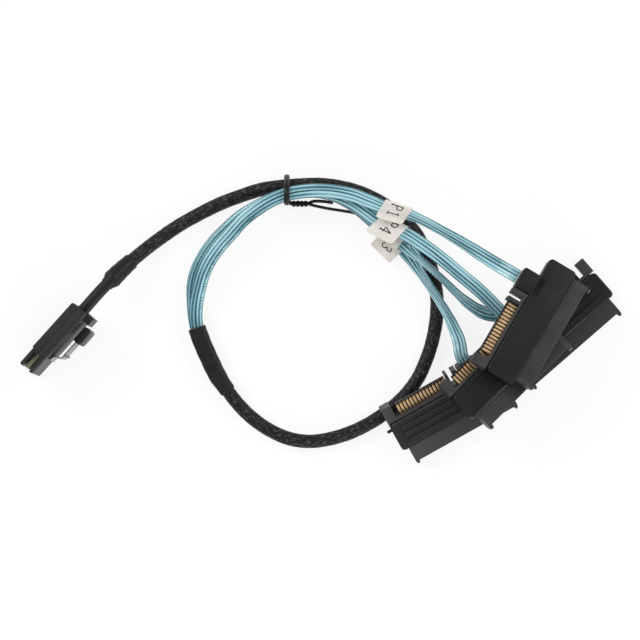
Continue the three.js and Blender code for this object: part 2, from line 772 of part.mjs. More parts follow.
function powerTongue() {
  const top = tongueBase() + TONGUE_THICKNESS;
  const tongue = block(
    [tongueStart(), -POWER_TAIL, tongueBase()],
    [tongueEnd(), TONGUE_REACH, top],
  );
  const contacts = Array.from({ length: CONTACT_COUNT }, (_, i) => {
    const x = CONTACT_FIRST + i * CONTACT_PITCH;
    return block(
      [x, TONGUE_REACH - GAP - CONTACT_LENGTH, top - CONTACT_RISE],
      [x + CONTACT_WIDTH, TONGUE_REACH - GAP, top + CONTACT_RISE],
    );
  });
  return join(tongue, ...contacts);
}

function adapterBoard() {
  return block(
    [(BLOCK_LENGTH - BOARD_LENGTH) / 2, DRIVE_TAIL + 2 * GAP - BLOCK_DEPTH, boardBase()],
    [(BLOCK_LENGTH + BOARD_LENGTH) / 2, -POWER_TAIL - 2 * GAP, boardBase() + BOARD_THICKNESS],
  );
}

const CONNECTOR_PIECES = {
  overmould: geometryOf(overmould()),
  drive_housing: geometryOf(driveHousing()),
  drive_contacts: geometryOf(driveContacts()),
  power_housing: geometryOf(powerHousing()),
  power_tongue: geometryOf(powerTongue()),
  adapter_board: geometryOf(adapterBoard()),
};
const CONNECTOR_FINISHES = {
  overmould: blackMoulding,
  drive_housing: greyHousing,
  drive_contacts: goldContact,
  power_housing: greyHousing,
  power_tongue: goldContact,
  adapter_board: boardLaminate,
};

function connector(letter) {
  const group = new THREE.Group();
  for (const [piece, geometry] of Object.entries(CONNECTOR_PIECES)) {
    group.add(mesh(`${piece}_${letter}`, geometry, CONNECTOR_FINISHES[piece]()));
  }
  return group;
}

// Turns a connector about its own length by `roll`, tips its far end down by `pitch`, then heads it
function place(group, { x, y, z, heading, roll = 0, pitch = 0 }) {
  group.position.set(x, y, z);
  group.rotation.set(roll, pitch, THREE.MathUtils.degToRad(heading), "ZYX");
  group.updateMatrixWorld(true);
  return group;
}

// A stands on the lower edge of its front face, and its back rides over the sleeve.
function placeA(group) {
  const reach = BLOCK_DEPTH + DRIVE_DEPTH + SLEEVE_CROSSING;
  const roll = Math.asin((SLEEVE_DIAMETER + RIDE_CLEARANCE) / reach);
  const lowest = [
    [-BLOCK_DEPTH, 0],
    [-BLOCK_DEPTH - DRIVE_DEPTH, housingBase()],
    [-BLOCK_DEPTH - DRIVE_DEPTH - POST_LENGTH, (BLOCK_THICKNESS - POST_HEIGHT) / 2],
  ].map(([y, z]) => y * Math.sin(roll) + z * Math.cos(roll));
  return place(group, { ...PLACE_A, z: -Math.min(...lowest), roll });
}

// B lies across the cable block of A and the back of D, tipped from one to the other.
function placeB(group, connectorA) {
  const support = connectorA.localToWorld(
    new THREE.Vector3(cableBlockEnd(), CABLE_BLOCK_DEPTH, BLOCK_THICKNESS),
  );
  const heading = THREE.MathUtils.degToRad(PLACE_B.heading);
  const run = (support.x - PLACE_B.x) * Math.cos(heading) + (support.y - PLACE_B.y) * Math.sin(heading);
  const high = support.z + GAP - housingBase();
  const low = BLOCK_THICKNESS + GAP;
  const pitch = Math.atan((high - low) / (BLOCK_LENGTH - run));
  return place(group, { ...PLACE_B, z: high + run * Math.tan(pitch), pitch });
}

function placeC(group) {
  return place(group, {
    x: PLACE_C.along,
    y: PLACE_C.back,
    z: BLOCK_THICKNESS + GAP,
    heading: PLACE_C.heading,
  });
}

// D lies on its back on the table, with its near end by the far end of A.
function placeD(group, connectorA) {
  const end = connectorA.localToWorld(new THREE.Vector3(BLOCK_LENGTH, 0, 0));
  const heading = THREE.MathUtils.degToRad(PLACE_D.heading);
  return place(group, {
    x: end.x + PLACE_D.right - BLOCK_LENGTH * Math.cos(heading),
    y: end.y + PLACE_D.back - BLOCK_LENGTH * Math.sin(heading),
    z: BLOCK_THICKNESS,
    heading: PLACE_D.heading,
    roll: Math.PI,
  });
}

function connectors() {
  const [A, B, C, D] = ["A", "B", "C", "D"].map(connector);
  placeA(A);
  placeB(B, A);
  B.add(placeC(C));
  B.updateMatrixWorld(true);
  placeD(D, A);
  return { A, B, C, D };
}

// Cable

// Points inside the plug, at its back wall, from which the cable sets out
function plugExit(group) {
  const middle = PLUG_WIDTH / 2;
  return [neckStart(), -GAP].map((x) => {
    const at = group.localToWorld(new THREE.Vector3(x, neckSide(), middle));
    return at.toArray();
  });
}

function cable(plugGroup) {
  const route = routeThrough([...plugExit(plugGroup), ...CABLE_ROUTE]);
  const sleeveEnd = route.length - SPLITTER_LENGTH + SPLITTER_OVERLAP;
  const boreRadius = SLEEVE_DIAMETER / 2 + SLIP;
  const boot = ringSection(
    circleCorners(boreRadius + BOOT_WALL, SECTION_SIDES),
    circleCorners(boreRadius, SECTION_SIDES),
  );
  const bore = 2 * RIBBON_WIDTH + PAIR_GAP + 2 * GAP;
  const outside = bore + 2 * SPLITTER_WALL;
  const splitter = ringSection(
    easedRectangle(outside, outside, SPLITTER_CORNER + SPLITTER_WALL / 2),
    easedRectangle(bore, bore, SPLITTER_CORNER),
  );
  const lay = (from, to) => new LaidCurve(route, from, to);
  return [
    mesh(
      "wire_neck",
      along(roundSection(NECK_DIAMETER), lay(0, NECK_LENGTH), CABLE_STEPS.neck),
      shrinkTube(),
    ),
    mesh("plug_boot", along(boot, lay(BOOT_START, BOOT_END), CABLE_STEPS.boot), shrinkTube()),
    mesh(
      "braided_sleeve",
      along(roundSection(SLEEVE_DIAMETER), lay(NECK_LENGTH + GAP, sleeveEnd), CABLE_STEPS.sleeve),
      braid(),
    ),
    mesh(
      "splitter",
      along(splitter, lay(route.length - SPLITTER_LENGTH, route.length), CABLE_STEPS.splitter),
      shrinkTube(),
    ),
  ];
}

// Ribbons

const rowPitch = () => RIBBON_THICKNESS + ROW_GAP;
const ribbonOffset = () => (RIBBON_WIDTH + PAIR_GAP) / 2;

// A pair's points in the bundle: the bundle's own, raised to its row and slid sideways by its spread
function bundlePoints({ row, spread }) {
  const lowestRow = SPLITTER_AXIS_HEIGHT - 1.5 * rowPitch();
  return BUNDLE_ROUTE.map(([x, y, rise, share], i) => {
    const [x0, y0] = BUNDLE_ROUTE[Math.max(i - 1, 0)];
    const [x1, y1] = BUNDLE_ROUTE[Math.min(i + 1, BUNDLE_ROUTE.length - 1)];
    const run = Math.hypot(x1 - x0, y1 - y0);
    const slide = (spread * share) / run;
    return [x - (y1 - y0) * slide, y + (x1 - x0) * slide, lowestRow + row * rowPitch() + rise, 0];
  });
}

// The last two points of a pair: straight into the back of its connector's cable block
function entryPoints(connectorGroup) {
  const x = CABLE_BLOCK_START + CABLE_BLOCK_LENGTH / 2;
  return [ENTRY_LEAD, 0].map((lead) => {
    const local = new THREE.Vector3(x, CABLE_BLOCK_DEPTH + GAP + lead, BLOCK_THICKNESS / 2);
    return connectorGroup.localToWorld(local).toArray();
  });
}

function pairRoute(pair, connectorGroup) {
  return routeThrough([...bundlePoints(pair), ...pair.route, ...entryPoints(connectorGroup)]);
}

function ribbons(name, route) {
  const section = polygon(easedRectangle(RIBBON_THICKNESS, RIBBON_WIDTH, RIBBON_EDGE));
  const sides = { left: -1, right: 1 };
  return Object.entries(sides).map(([word, sign]) => {
    const path = new LaidCurve(route, 0, route.length, sign * ribbonOffset());
    return mesh(`ribbon_${name}_${word}`, along(section, path, RIBBON_STEPS), tealJacket());
  });
}

function label(name, route, from) {
  const h = RIBBON_THICKNESS / 2 + LABEL_ROOM;
  const w = RIBBON_WIDTH + PAIR_GAP / 2 + LABEL_ROOM;
  const H = h + LABEL_FILM;
  const W = w + LABEL_FILM;
  const tab = TAB_THICKNESS / 2;
  const section = ringSection(
    [
      [H, -W],
      [H, W],
      [tab, W],
      [tab, W + LABEL_TAB],
      [-tab, W + LABEL_TAB],
      [-tab, W],
      [-H, W],
      [-H, -W],
    ],
    [
      [h, -w],
      [h, w],
      [-h, w],
      [-h, -w],
    ],
  );
  const path = new LaidCurve(route, from, from + LABEL_LENGTH);
  return mesh(`label_${name}`, along(section, path, LABEL_STEPS), labelFilm());
}

// Twist tie

// One wire of the twisted stretch: a helix about the line between its ends
function twistPoints(phase) {
  const from = new THREE.Vector3(...TIE_TWIST.from);
  const to = new THREE.Vector3(...TIE_TWIST.to);
  const direction = to.clone().sub(from).normalize();
  const first = new THREE.Vector3().crossVectors(UP, direction).normalize();
  const steps = Math.round(4 * TIE_TURNS);
  return Array.from({ length: steps + 1 }, (_, i) => {
    const turn = phase + (2 * Math.PI * TIE_TURNS * i) / steps;
    const out = first.clone().applyAxisAngle(direction, turn).multiplyScalar(TIE_TWIST_RADIUS);
    return from.clone().lerp(to, i / steps).add(out);
  });
}

function twistTie() {
  const points = (list) => list.map((place) => new THREE.Vector3(...place));
  const path = new THREE.CatmullRomCurve3(
    [
      ...points(TIE_TAIL_UPPER),
      ...twistPoints(-Math.PI / 2),
      ...points(TIE_LOOP),
      ...twistPoints(Math.PI / 2).reverse(),
      ...points(TIE_TAIL_LOWER),
    ],
    false,
    "centripetal",
  );
  const section = polygon(circleCorners(TIE_DIAMETER / 2, TIE_SIDES));
  return mesh("twist_tie", along(section, path, TIE_STEPS), tiePlastic());
}

// The whole cable

function breakoutCable() {
  const group = new THREE.Group();
  const plugGroup = plug();
  const ends = connectors();
  group.add(plugGroup, ends.A, ends.B, ends.D, ...cable(plugGroup), twistTie());
  for (const [name, pair] of Object.entries(PAIRS)) {
    const route = pairRoute(pair, ends[pair.connector]);
    group.add(...ribbons(name, route), label(name, route, pair.labelFrom));
  }
  return group;
}

export default breakoutCable();
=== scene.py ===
"""The looks of an internal breakout cable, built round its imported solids.

A latched controller plug leads into a braided cable that lies in a loop. Past its splitter, eight
flat ribbons run in four labelled pairs to four moulded drive connectors. Everything is in metres,
in the frame of the solids; sizes inside a connector or the plug are in millimetres in its own frame.
"""

from __future__ import annotations

import logging
import math
from collections.abc import Callable, Sequence
from dataclasses import dataclass, field
from enum import Enum

import bmesh
import bpy
import numpy as np
from mathutils import Matrix


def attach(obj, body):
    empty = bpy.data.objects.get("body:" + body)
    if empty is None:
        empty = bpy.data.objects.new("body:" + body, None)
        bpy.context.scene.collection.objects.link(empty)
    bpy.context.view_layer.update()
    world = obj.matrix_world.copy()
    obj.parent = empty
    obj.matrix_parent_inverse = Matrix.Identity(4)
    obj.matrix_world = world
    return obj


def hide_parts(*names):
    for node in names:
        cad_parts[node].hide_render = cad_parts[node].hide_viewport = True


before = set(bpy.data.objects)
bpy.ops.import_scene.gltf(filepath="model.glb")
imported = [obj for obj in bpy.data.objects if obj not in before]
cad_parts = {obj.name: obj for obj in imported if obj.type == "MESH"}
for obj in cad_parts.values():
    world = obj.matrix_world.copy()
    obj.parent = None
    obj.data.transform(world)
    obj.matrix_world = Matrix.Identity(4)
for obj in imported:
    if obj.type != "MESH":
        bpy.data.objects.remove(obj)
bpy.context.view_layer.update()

LOG = logging.getLogger("breakout_cable")
MM = 0.001
UP = np.array([0.0, 0.0, 1.0])

Socket = bpy.types.NodeSocket
Point = tuple[float, ...]


class Body(Enum):
    """The rigid bodies that a piece can ride on."""

    CABLE = "cable"
    LATCH = "latch"


class Slot(Enum):
    """The material slots of the record."""

    PLUG = "plug_moulding"
    PAD = "pad_moulding"
    STEEL = "spring_steel"
    BOARD = "board_laminate"
    GLUE = "hot_melt"
    SHRINK = "shrink_tube"
    BRAID = "braid"
    TEAL = "teal_jacket"
    LABEL = "label_film"
    TIE = "tie_plastic"
    BLACK = "black_moulding"
    GREY = "grey_housing"
    GOLD = "gold_contact"


# Surfaces


@dataclass
class Surface:
    """Closed shells as points and faces, with a texture place for each corner of each face."""

    points: np.ndarray
    faces: list[list[int]]
    uv: np.ndarray
    tone: np.ndarray

    @staticmethod
    def joined(parts: Sequence[Surface]) -> Surface:
        """Returns one surface that holds the shells of several."""
        faces, offset = [], 0
        for part in parts:
            faces += [[i + offset for i in face] for face in part.faces]
            offset += len(part.points)
        return Surface(
            np.concatenate([part.points for part in parts]),
            faces,
            np.concatenate([part.uv for part in parts]),
            np.concatenate([part.tone for part in parts]),
        )

    def moved(self, change: Callable[[np.ndarray], np.ndarray]) -> Surface:
        """Returns the same surface with its points changed by a function of all of them."""
        return Surface(change(self.points), self.faces, self.uv, self.tone)

    @staticmethod
    def grid(
        rings: np.ndarray,
        u: np.ndarray | None = None,
        v: np.ndarray | None = None,
        tone: np.ndarray | None = None,
        closed_rows: bool = False,
    ) -> Surface:
        """A skin over rings of points, in which quad (i, j) joins ring i to ring i + 1.

        The quad lies between points j and j + 1 of both rings.

        Args:
            rings: points as (rows, columns, 3); each ring closes on itself.
            u: texture place round a ring, one more than its points.
            v: texture place of each ring.
            tone: a value for each point, as (rows, columns).
            closed_rows: True where the last ring joins the first, else each end gets one flat face.

        Returns:
            The closed surface.
        """
        rows, columns = rings.shape[:2]
        u = np.linspace(0, 1, columns + 1) if u is None else u
        v = np.linspace(0, 1, rows + closed_rows) if v is None else v
        tone = np.zeros((rows, columns)) if tone is None else tone
        count = rows if closed_rows else rows - 1
        i, j = np.meshgrid(np.arange(count), np.arange(columns), indexing="ij")
        next_i, next_j = (i + 1) % rows, (j + 1) % columns
        quads = np.stack(
            [i * columns + j, i * columns + next_j, next_i * columns + next_j, next_i * columns + j],
            axis=-1,
        ).reshape(-1, 4)
        corners = np.stack(
            [
                np.stack([u[j], v[i]], -1),
                np.stack([u[j + 1], v[i]], -1),
                np.stack([u[j + 1], v[i + 1]], -1),
                np.stack([u[j], v[i + 1]], -1),
            ],
            axis=2,
        ).reshape(-1, 2)
        faces = quads.tolist()
        if not closed_rows:
            last = (rows - 1) * columns
            faces += [list(range(columns))[::-1], list(range(last, last + columns))]
            ring_u = np.stack([u[:-1], np.zeros(columns)], -1)
            corners = np.concatenate([corners, ring_u[::-1] + [0, v[0]], ring_u + [0, v[-1]]])
        return Surface(rings.reshape(-1, 3), faces, corners, tone.ravel())


def rounded_outline(length: float, width: float, corner: float, arc: int = 5) -> np.ndarray:
    """A rectangle with round corners, anticlockwise about the origin.

    Point k of a corner lies at the corner's centre plus the radius times (cos a, sin a).

    Args:
        length: along x.
        width: along y.
        corner: radius of the corners.
        arc: points on each corner.

    Returns:
        The points as (4 * arc, 2).
    """
    corner = max(min(corner, length / 2, width / 2), 1e-4)
    turn = np.linspace(0, math.pi / 2, arc)
    angles = turn[None, :] + (np.arange(4) * math.pi / 2)[:, None]
    centres = np.array([[1, 1], [-1, 1], [-1, -1], [1, -1]]) * [length / 2 - corner, width / 2 - corner]
    arcs = np.stack([np.cos(angles), np.sin(angles)], -1) * corner
    return (centres[:, None, :] + arcs).reshape(-1, 2)


def rounded_slab(
    low: Point,
    high: Point,
    corner: float,
    edge: float,
    arc: int = 5,
    steps: int = 3,
) -> Surface:
    """A block with round upright corners and eased top and bottom edges.

    Ring k is the outline drawn in by edge * (1 - sin a) at the height edge * (1 - cos a) from a face.

    Args:
        low: lowest corner.
        high: highest corner.
        corner: radius of the upright corners.
        edge: radius of the top and bottom edges.
        arc: points on each upright corner.
        steps: rings on each edge.

    Returns:
        The closed surface.
    """
    low, high = np.array(low, float), np.array(high, float)
    size, centre = high - low, (low + high) / 2
    edge = min(edge, *(size / 2.01))
    angle = np.linspace(0, math.pi / 2, steps + 1)
    inset = edge * (1 - np.sin(angle))
    rise = edge * (1 - np.cos(angle))
    heights = np.concatenate([low[2] + rise, (high[2] - rise)[::-1]])
    insets = np.concatenate([inset, inset[::-1]])
    rings = [
        np.column_stack(
            [
                rounded_outline(size[0] - 2 * d, size[1] - 2 * d, corner - d, arc) + centre[:2],
                np.full(4 * arc, z),
            ]
        )
        for d, z in zip(insets, heights)
    ]
    return Surface.grid(np.array(rings))


def bar(low: Point, high: Point, edge: float) -> Surface:
    """A small block with its edges eased, in a few dozen faces."""
    return rounded_slab(low, high, edge, edge, arc=2, steps=1)


# Places and routes


@dataclass(frozen=True)
class Placement:
    """A piece's own frame, in which millimetres are measured, set in the model's frame."""

    origin: Point
    x_axis: Point
    y_axis: Point

    def out(self, points: np.ndarray) -> np.ndarray:
        """Returns points of the piece's frame, in millimetres, as points of the model, in metres."""
        x, y = np.array(self.x_axis), np.array(self.y_axis)
        return np.array(self.origin) + points * MM @ np.array([x, y, np.cross(x, y)])

    def placed(self, surface: Surface) -> Surface:
        """Returns a surface of the piece's frame where it lies in the model."""
        return surface.moved(self.out)


class Route:
    """A smooth curve through points, measured by its length, with a lean at each point.

    Each stretch is a cubic whose end slopes come from its neighbours' square-rooted distances.
    """

    SAMPLES = 48

    def __init__(self, points: Sequence[Point]) -> None:
        """Takes points of x, y, z and, if they lean, the lean in degrees."""
        rows = np.array([(*point, 0.0)[:4] for point in points])
        places, leans = rows[:, :3], np.radians(rows[:, 3])
        ends = (2 * places[:1] - places[1:2], 2 * places[-1:] - places[-2:-1])
        full = np.concatenate([ends[0], places, ends[1]])
        step = np.sqrt(np.linalg.norm(np.diff(full, axis=0), axis=1))[:, None]
        x0, x1, x2, x3 = full[:-3], full[1:-2], full[2:-1], full[3:]
        d0, d1, d2 = step[:-2], step[1:-1], step[2:]
        out = ((x1 - x0) / d0 - (x2 - x0) / (d0 + d1) + (x2 - x1) / d1) * d1
        into = ((x2 - x1) / d1 - (x3 - x1) / (d1 + d2) + (x3 - x2) / d2) * d1
        t = np.linspace(0, 1, self.SAMPLES, endpoint=False)[None, :, None]
        first, second = (e[:, None, :] for e in (out, into))
        a, b = x1[:, None, :], x2[:, None, :]
        cubic, square = 2 * a - 2 * b + first + second, 3 * b - 3 * a - 2 * first - second
        line = a + first * t + square * t**2 + cubic * t**3
        self.line = np.concatenate([line.reshape(-1, 3), places[-1:]])
        ease = (3 * t**2 - 2 * t**3)[..., 0]
        lean = leans[:-1, None] + (leans[1:] - leans[:-1])[:, None] * ease
        self.leans = np.append(lean.ravel(), leans[-1])
        self.along = np.concatenate([[0], np.cumsum(np.linalg.norm(np.diff(self.line, axis=0), axis=1))])
        self.length = float(self.along[-1])

    def axes(self, at: np.ndarray) -> tuple[np.ndarray, ...]:
        """Returns the centre, the way on, the right and the top of the route at these distances."""
        at = np.clip(at, 0, self.length)
        centre = np.stack([np.interp(at, self.along, self.line[:, k]) for k in range(3)], -1)
        slope = np.gradient(self.line, self.along, axis=0)
        on = np.stack([np.interp(at, self.along, slope[:, k]) for k in range(3)], -1)
        on /= np.linalg.norm(on, axis=1, keepdims=True)
        level = np.cross(on, UP)
        level /= np.linalg.norm(level, axis=1, keepdims=True)
        lean = np.interp(at, self.along, self.leans)[:, None]
        right = level * np.cos(lean) + np.cross(on, level) * np.sin(lean)
        return centre, on, right, np.cross(right, on)

    def swept(
        self,
        at: np.ndarray,
        section: np.ndarray,
        u: np.ndarray | None = None,
        tone: np.ndarray | None = None,
        closed_rows: bool = False,
    ) -> Surface:
        """Carries a section along the route: point (i, j) is centre + right * x + top * y.

        Args:
            at: distances of the rings along the route, in metres.
            section: (columns, 2) or (rows, columns, 2) points, right and up, in millimetres.
            u: texture place round a ring.
            tone: a value for each point.
            closed_rows: True where the last ring joins the first.

        Returns:
            The closed surface, with its v in millimetres along the route.
        """
        centre, _, right, top = self.axes(at)
        section = np.broadcast_to(section, (len(at), *section.shape[-2:])) * MM
        rings = (
            centre[:, None, :]
            + right[:, None, :] * section[..., :1]
            + top[:, None, :] * section[..., 1:]
        )
        v = at / MM
        return Surface.grid(rings, u, np.append(v, v[:1]) if closed_rows else v, tone, closed_rows)

    def steps(self, start: float, end: float, pitch: float) -> np.ndarray:
        """Returns distances from start to end, about pitch apart."""
        return np.linspace(start, end, max(2, math.ceil((end - start) / pitch) + 1))


def circle(radius: float | np.ndarray, sides: int) -> np.ndarray:
    """A circle of points, or one circle for each radius: (radius cos a, radius sin a)."""
    angle = np.arange(sides) * 2 * math.pi / sides
    return np.asarray(radius)[..., None, None] * np.stack([np.cos(angle), np.sin(angle)], -1)


# Pieces


def new_piece(
    name: str,
    surface: Surface,
    material: bpy.types.Material,
    body: Body = Body.CABLE,
    replaces: Sequence[str] = (),
    crease: float = 40.0,
) -> bpy.types.Object:
    """Makes a piece of the object from a surface.

    Args:
        name: the piece's name.
        surface: its closed shells, in metres in the model's frame.
        material: its finish.
        body: the body that it rides on.
        replaces: the solids that it stands for.
        crease: the angle in degrees past which an edge stays sharp.

    Returns:
        The piece.
    """
    mesh = bpy.data.meshes.new(name)
    mesh.from_pydata(surface.points.tolist(), [], surface.faces)
    mesh.uv_layers.new(name="UVMap").data.foreach_set("uv", surface.uv.astype(np.float32).ravel())
    mesh.attributes.new("tone", "FLOAT", "POINT").data.foreach_set(
        "value", surface.tone.astype(np.float32)
    )
    worked = bmesh.new()
    worked.from_mesh(mesh)
    bmesh.ops.recalc_face_normals(worked, faces=worked.faces)
    worked.to_mesh(mesh)
    worked.free()
    mesh.shade_smooth()
    mesh.set_sharp_from_angle(angle=math.radians(crease))
    piece = bpy.data.objects.new(name, mesh)
    bpy.context.scene.collection.objects.link(piece)
    return dressed(piece, material, body, replaces)


def dressed(
    piece: bpy.types.Object,
    material: bpy.types.Material,
    body: Body,
    replaces: Sequence[str],
) -> bpy.types.Object:
    """Gives a new piece its finish, its body and the solids that it stands for, and reports it."""
    piece.data.materials.clear()
    piece.data.materials.append(material)
    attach(piece, body.value)
    if replaces:
        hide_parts(*replaces)
    LOG.info("%s: %d faces, %s", piece.name, len(piece.data.polygons), material.name)
    return piece


def softened(
    node: str,
    name: str,
    material: bpy.types.Material,
    edge: float,
    body: Body = Body.CABLE,
    segments: int = 3,
) -> bpy.types.Object:
    """A copy of a solid with its triangles merged into flat faces and its edges rounded.

    Args:
        node: the solid that the piece stands for.
        name: the piece's name.
        material: its finish.
        edge: width of the rounding, in millimetres.
        body: the body that it rides on.
        segments: faces across the rounding.

    Returns:
        The piece.
    """
    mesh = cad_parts[node].data.copy()
    mesh.name = name
    worked = bmesh.new()
    worked.from_mesh(mesh)
    bmesh.ops.remove_doubles(worked, verts=worked.verts, dist=0.002 * MM)
    bmesh.ops.dissolve_limit(
        worked, angle_limit=math.radians(1), verts=worked.verts, edges=worked.edges
    )
    bmesh.ops.recalc_face_normals(worked, faces=worked.faces)
    worked.to_mesh(mesh)
    worked.free()
    mesh.shade_smooth()
    piece = bpy.data.objects.new(name, mesh)
    bpy.context.scene.collection.objects.link(piece)
    bevel = piece.modifiers.new("rounding", "BEVEL")
    bevel.width = edge * MM
    bevel.segments = segments
    bevel.limit_method = "ANGLE"
    bevel.angle_limit = math.radians(20)
    bevel.harden_normals = True
    return dressed(piece, material, body, [node])


# Finishes


class Graph:
    """Adds nodes to one node tree and joins them."""

    def __init__(self, tree: bpy.types.NodeTree) -> None:
        """Takes the tree that the nodes go into."""
        self.tree = tree

    def node(self, kind: str, **settings: object) -> bpy.types.Node:
        """Adds a node and sets its own properties."""
        made = self.tree.nodes.new(kind)
        for key, value in settings.items():
            setattr(made, key, value)
        return made

    def feed(self, socket: Socket, value: Socket | float | Sequence[float]) -> None:
        """Links a socket to another, or sets its value."""
        if isinstance(value, bpy.types.NodeSocket):
            self.tree.links.new(value, socket)
        else:
            socket.default_value = value

    def math(self, operation: str, *values: Socket | float, clamp: bool = False) -> Socket:
        """Adds a Math node and returns its output."""
        made = self.node("ShaderNodeMath", operation=operation, use_clamp=clamp)
        for socket, value in zip(made.inputs, values):
            self.feed(socket, value)
        return made.outputs[0]

    def blend(self, share: Socket | float, first: Socket | Point, second: Socket | Point) -> Socket:
        """Mixes two colours and returns the result."""
        made = self.node("ShaderNodeMix", data_type="RGBA")
        self.feed(made.inputs[0], share)
        self.feed(made.inputs[6], first)
        self.feed(made.inputs[7], second)
        return made.outputs[2]

    def remap(self, value: Socket, low: float, high: float, to: tuple[float, float] = (0, 1)) -> Socket:
        """Carries a range of values over to another, held at its ends."""
        made = self.node("ShaderNodeMapRange")
        for socket, given in zip(made.inputs[:5], (value, low, high, *to)):
            self.feed(socket, given)
        return made.outputs[0]

    def noise(self, place: Socket, scale: Socket | float, detail: float = 2.0) -> Socket:
        """Adds a noise of a given scale and returns its value."""
        made = self.node("ShaderNodeTexNoise")
        self.feed(made.inputs["Vector"], place)
        self.feed(made.inputs["Scale"], scale)
        made.inputs["Detail"].default_value = detail
        return made.outputs["Fac"]

    def vector(self, x: Socket | float, y: Socket | float, z: Socket | float = 0.0) -> Socket:
        """Makes a vector of three values."""
        made = self.node("ShaderNodeCombineXYZ")
        for socket, value in zip(made.inputs, (x, y, z)):
            self.feed(socket, value)
        return made.outputs[0]

    def split(self, vector: Socket) -> tuple[Socket, Socket, Socket]:
        """Returns the three values of a vector."""
        made = self.node("ShaderNodeSeparateXYZ")
        self.feed(made.inputs[0], vector)
        return tuple(made.outputs)

    def place(self) -> Socket:
        """Returns the Object coordinates."""
        return self.node("ShaderNodeTexCoord").outputs["Object"]

    def uv(self) -> Socket:
        """Returns the piece's own texture places."""
        return self.node("ShaderNodeUVMap", uv_map="UVMap").outputs[0]

    def tone(self) -> Socket:
        """Returns the value that each point carries."""
        return self.node("ShaderNodeAttribute", attribute_name="tone").outputs["Fac"]

    def bump(self, height: Socket, distance: float, strength: float = 1.0) -> Socket:
        """Returns a normal tilted by a height, whose full range is distance in metres."""
        made = self.node("ShaderNodeBump")
        made.inputs["Strength"].default_value = strength
        made.inputs["Distance"].default_value = distance
        self.feed(made.inputs["Height"], height)
        return made.outputs[0]


class Group(Enum):
    """The shared effects, each a node group of this name."""

    GRAIN = "moulded_grain"
    STREAKS = "drawn_streaks"
    BRAID = "woven_braid"
    SMUDGE = "handling_smudge"


def make_group(
    kind: Group,
    inputs: Sequence[tuple[str, str, float | None]],
    outputs: Sequence[str],
    build: Callable[[Graph, dict[str, Socket]], Sequence[Socket]],
) -> None:
    """Builds a shared effect once.

    Args:
        kind: which effect.
        inputs: name, socket type and value of each input.
        outputs: names of its outputs, all plain values.
        build: adds the nodes and returns a socket for each output.
    """
    tree = bpy.data.node_groups.new(kind.value, "ShaderNodeTree")
    for name, socket_type, value in inputs:
        made = tree.interface.new_socket(name=name, in_out="INPUT", socket_type=socket_type)
        if value is not None:
            made.default_value = value
    for name in outputs:
        tree.interface.new_socket(name=name, in_out="OUTPUT", socket_type="NodeSocketFloat")
    graph = Graph(tree)
    given = graph.node("NodeGroupInput")
    results = build(graph, {name: given.outputs[name] for name, *_ in inputs})
    end = graph.node("NodeGroupOutput")
    for name, socket in zip(outputs, results):
        graph.feed(end.inputs[name], socket)


def use_group(graph: Graph, kind: Group, **values: Socket | float) -> dict[str, Socket]:
    """Places a shared effect in a material with its own values and returns its outputs by name."""
    made = graph.node("ShaderNodeGroup", node_tree=bpy.data.node_groups[kind.value])
    for name, value in values.items():
        graph.feed(made.inputs[name], value)
    return {socket.name: socket for socket in made.outputs}


def make_shared_groups() -> None:
    """Builds every shared effect."""
    vector, number = "NodeSocketVector", "NodeSocketFloat"

    def grain(g: Graph, given: dict[str, Socket]) -> Sequence[Socket]:
        """Fine spark-eroded pits over a slow change of tone."""
        fine = g.noise(given["Place"], given["Scale"], 3.0)
        slow = g.noise(given["Place"], g.math("MULTIPLY", given["Scale"], 0.03), 2.0)
        return g.remap(fine, 0.3, 0.7), g.remap(slow, 0.35, 0.65)

    def streaks(g: Graph, given: dict[str, Socket]) -> Sequence[Socket]:
        """Long thin lines that run with a strip, and small glints across it."""
        across, on, _ = g.split(given["Place"])
        long_place = g.vector(g.math("MULTIPLY", across, given["Lines"]), g.math("MULTIPLY", on, 0.05))
        short_place = g.vector(g.math("MULTIPLY", across, given["Lines"]), g.math("MULTIPLY", on, 1.6))
        return g.remap(g.noise(long_place, 1.0, 2.0), 0.35, 0.65), g.remap(
            g.noise(short_place, 1.0, 3.0), 0.5, 0.75
        )

    def braid(g: Graph, given: dict[str, Socket]) -> Sequence[Socket]:
        """Two families of strands that wind opposite ways and pass over and under each other."""
        around, on, _ = g.split(given["Place"])
        turns = g.math("MULTIPLY", around, given["Strands"])
        run = g.math("MULTIPLY", on, given["Rate"])
        right = g.math("FRACT", g.math("ADD", turns, run))
        left = g.math("FRACT", g.math("SUBTRACT", turns, run))
        humps = [
            g.math("SUBTRACT", 1.0, g.math("ABSOLUTE", g.math("MULTIPLY_ADD", s, 2.0, -1.0)))
            for s in (right, left)
        ]
        over = g.math("SINE", g.math("MULTIPLY", turns, math.tau))
        share = g.math("MULTIPLY_ADD", over, 0.5, 0.5)
        height = g.math(
            "MAXIMUM",
            g.math("MULTIPLY", humps[0], share),
            g.math("MULTIPLY", humps[1], g.math("SUBTRACT", 1.0, share)),
        )
        glint = g.noise(g.vector(turns, g.math("MULTIPLY", run, 0.4)), 1.3, 2.0)
        return height, g.remap(glint, 0.52, 0.68)

    def smudge(g: Graph, given: dict[str, Socket]) -> Sequence[Socket]:
        """Soft patches where a surface has been handled."""
        return (g.remap(g.noise(given["Place"], given["Scale"], 4.0), 0.4, 0.7),)

    place = ("Place", vector, None)
    make_group(Group.GRAIN, [place, ("Scale", number, 4000.0)], ["Pits", "Tone"], grain)
    make_group(Group.STREAKS, [place, ("Lines", number, 8.0)], ["Long", "Glints"], streaks)
    make_group(
        Group.BRAID,
        [place, ("Strands", number, 12.0), ("Rate", number, 1.0)],
        ["Height", "Glint"],
        braid,
    )
    make_group(Group.SMUDGE, [place, ("Scale", number, 90.0)], ["Patch"], smudge)


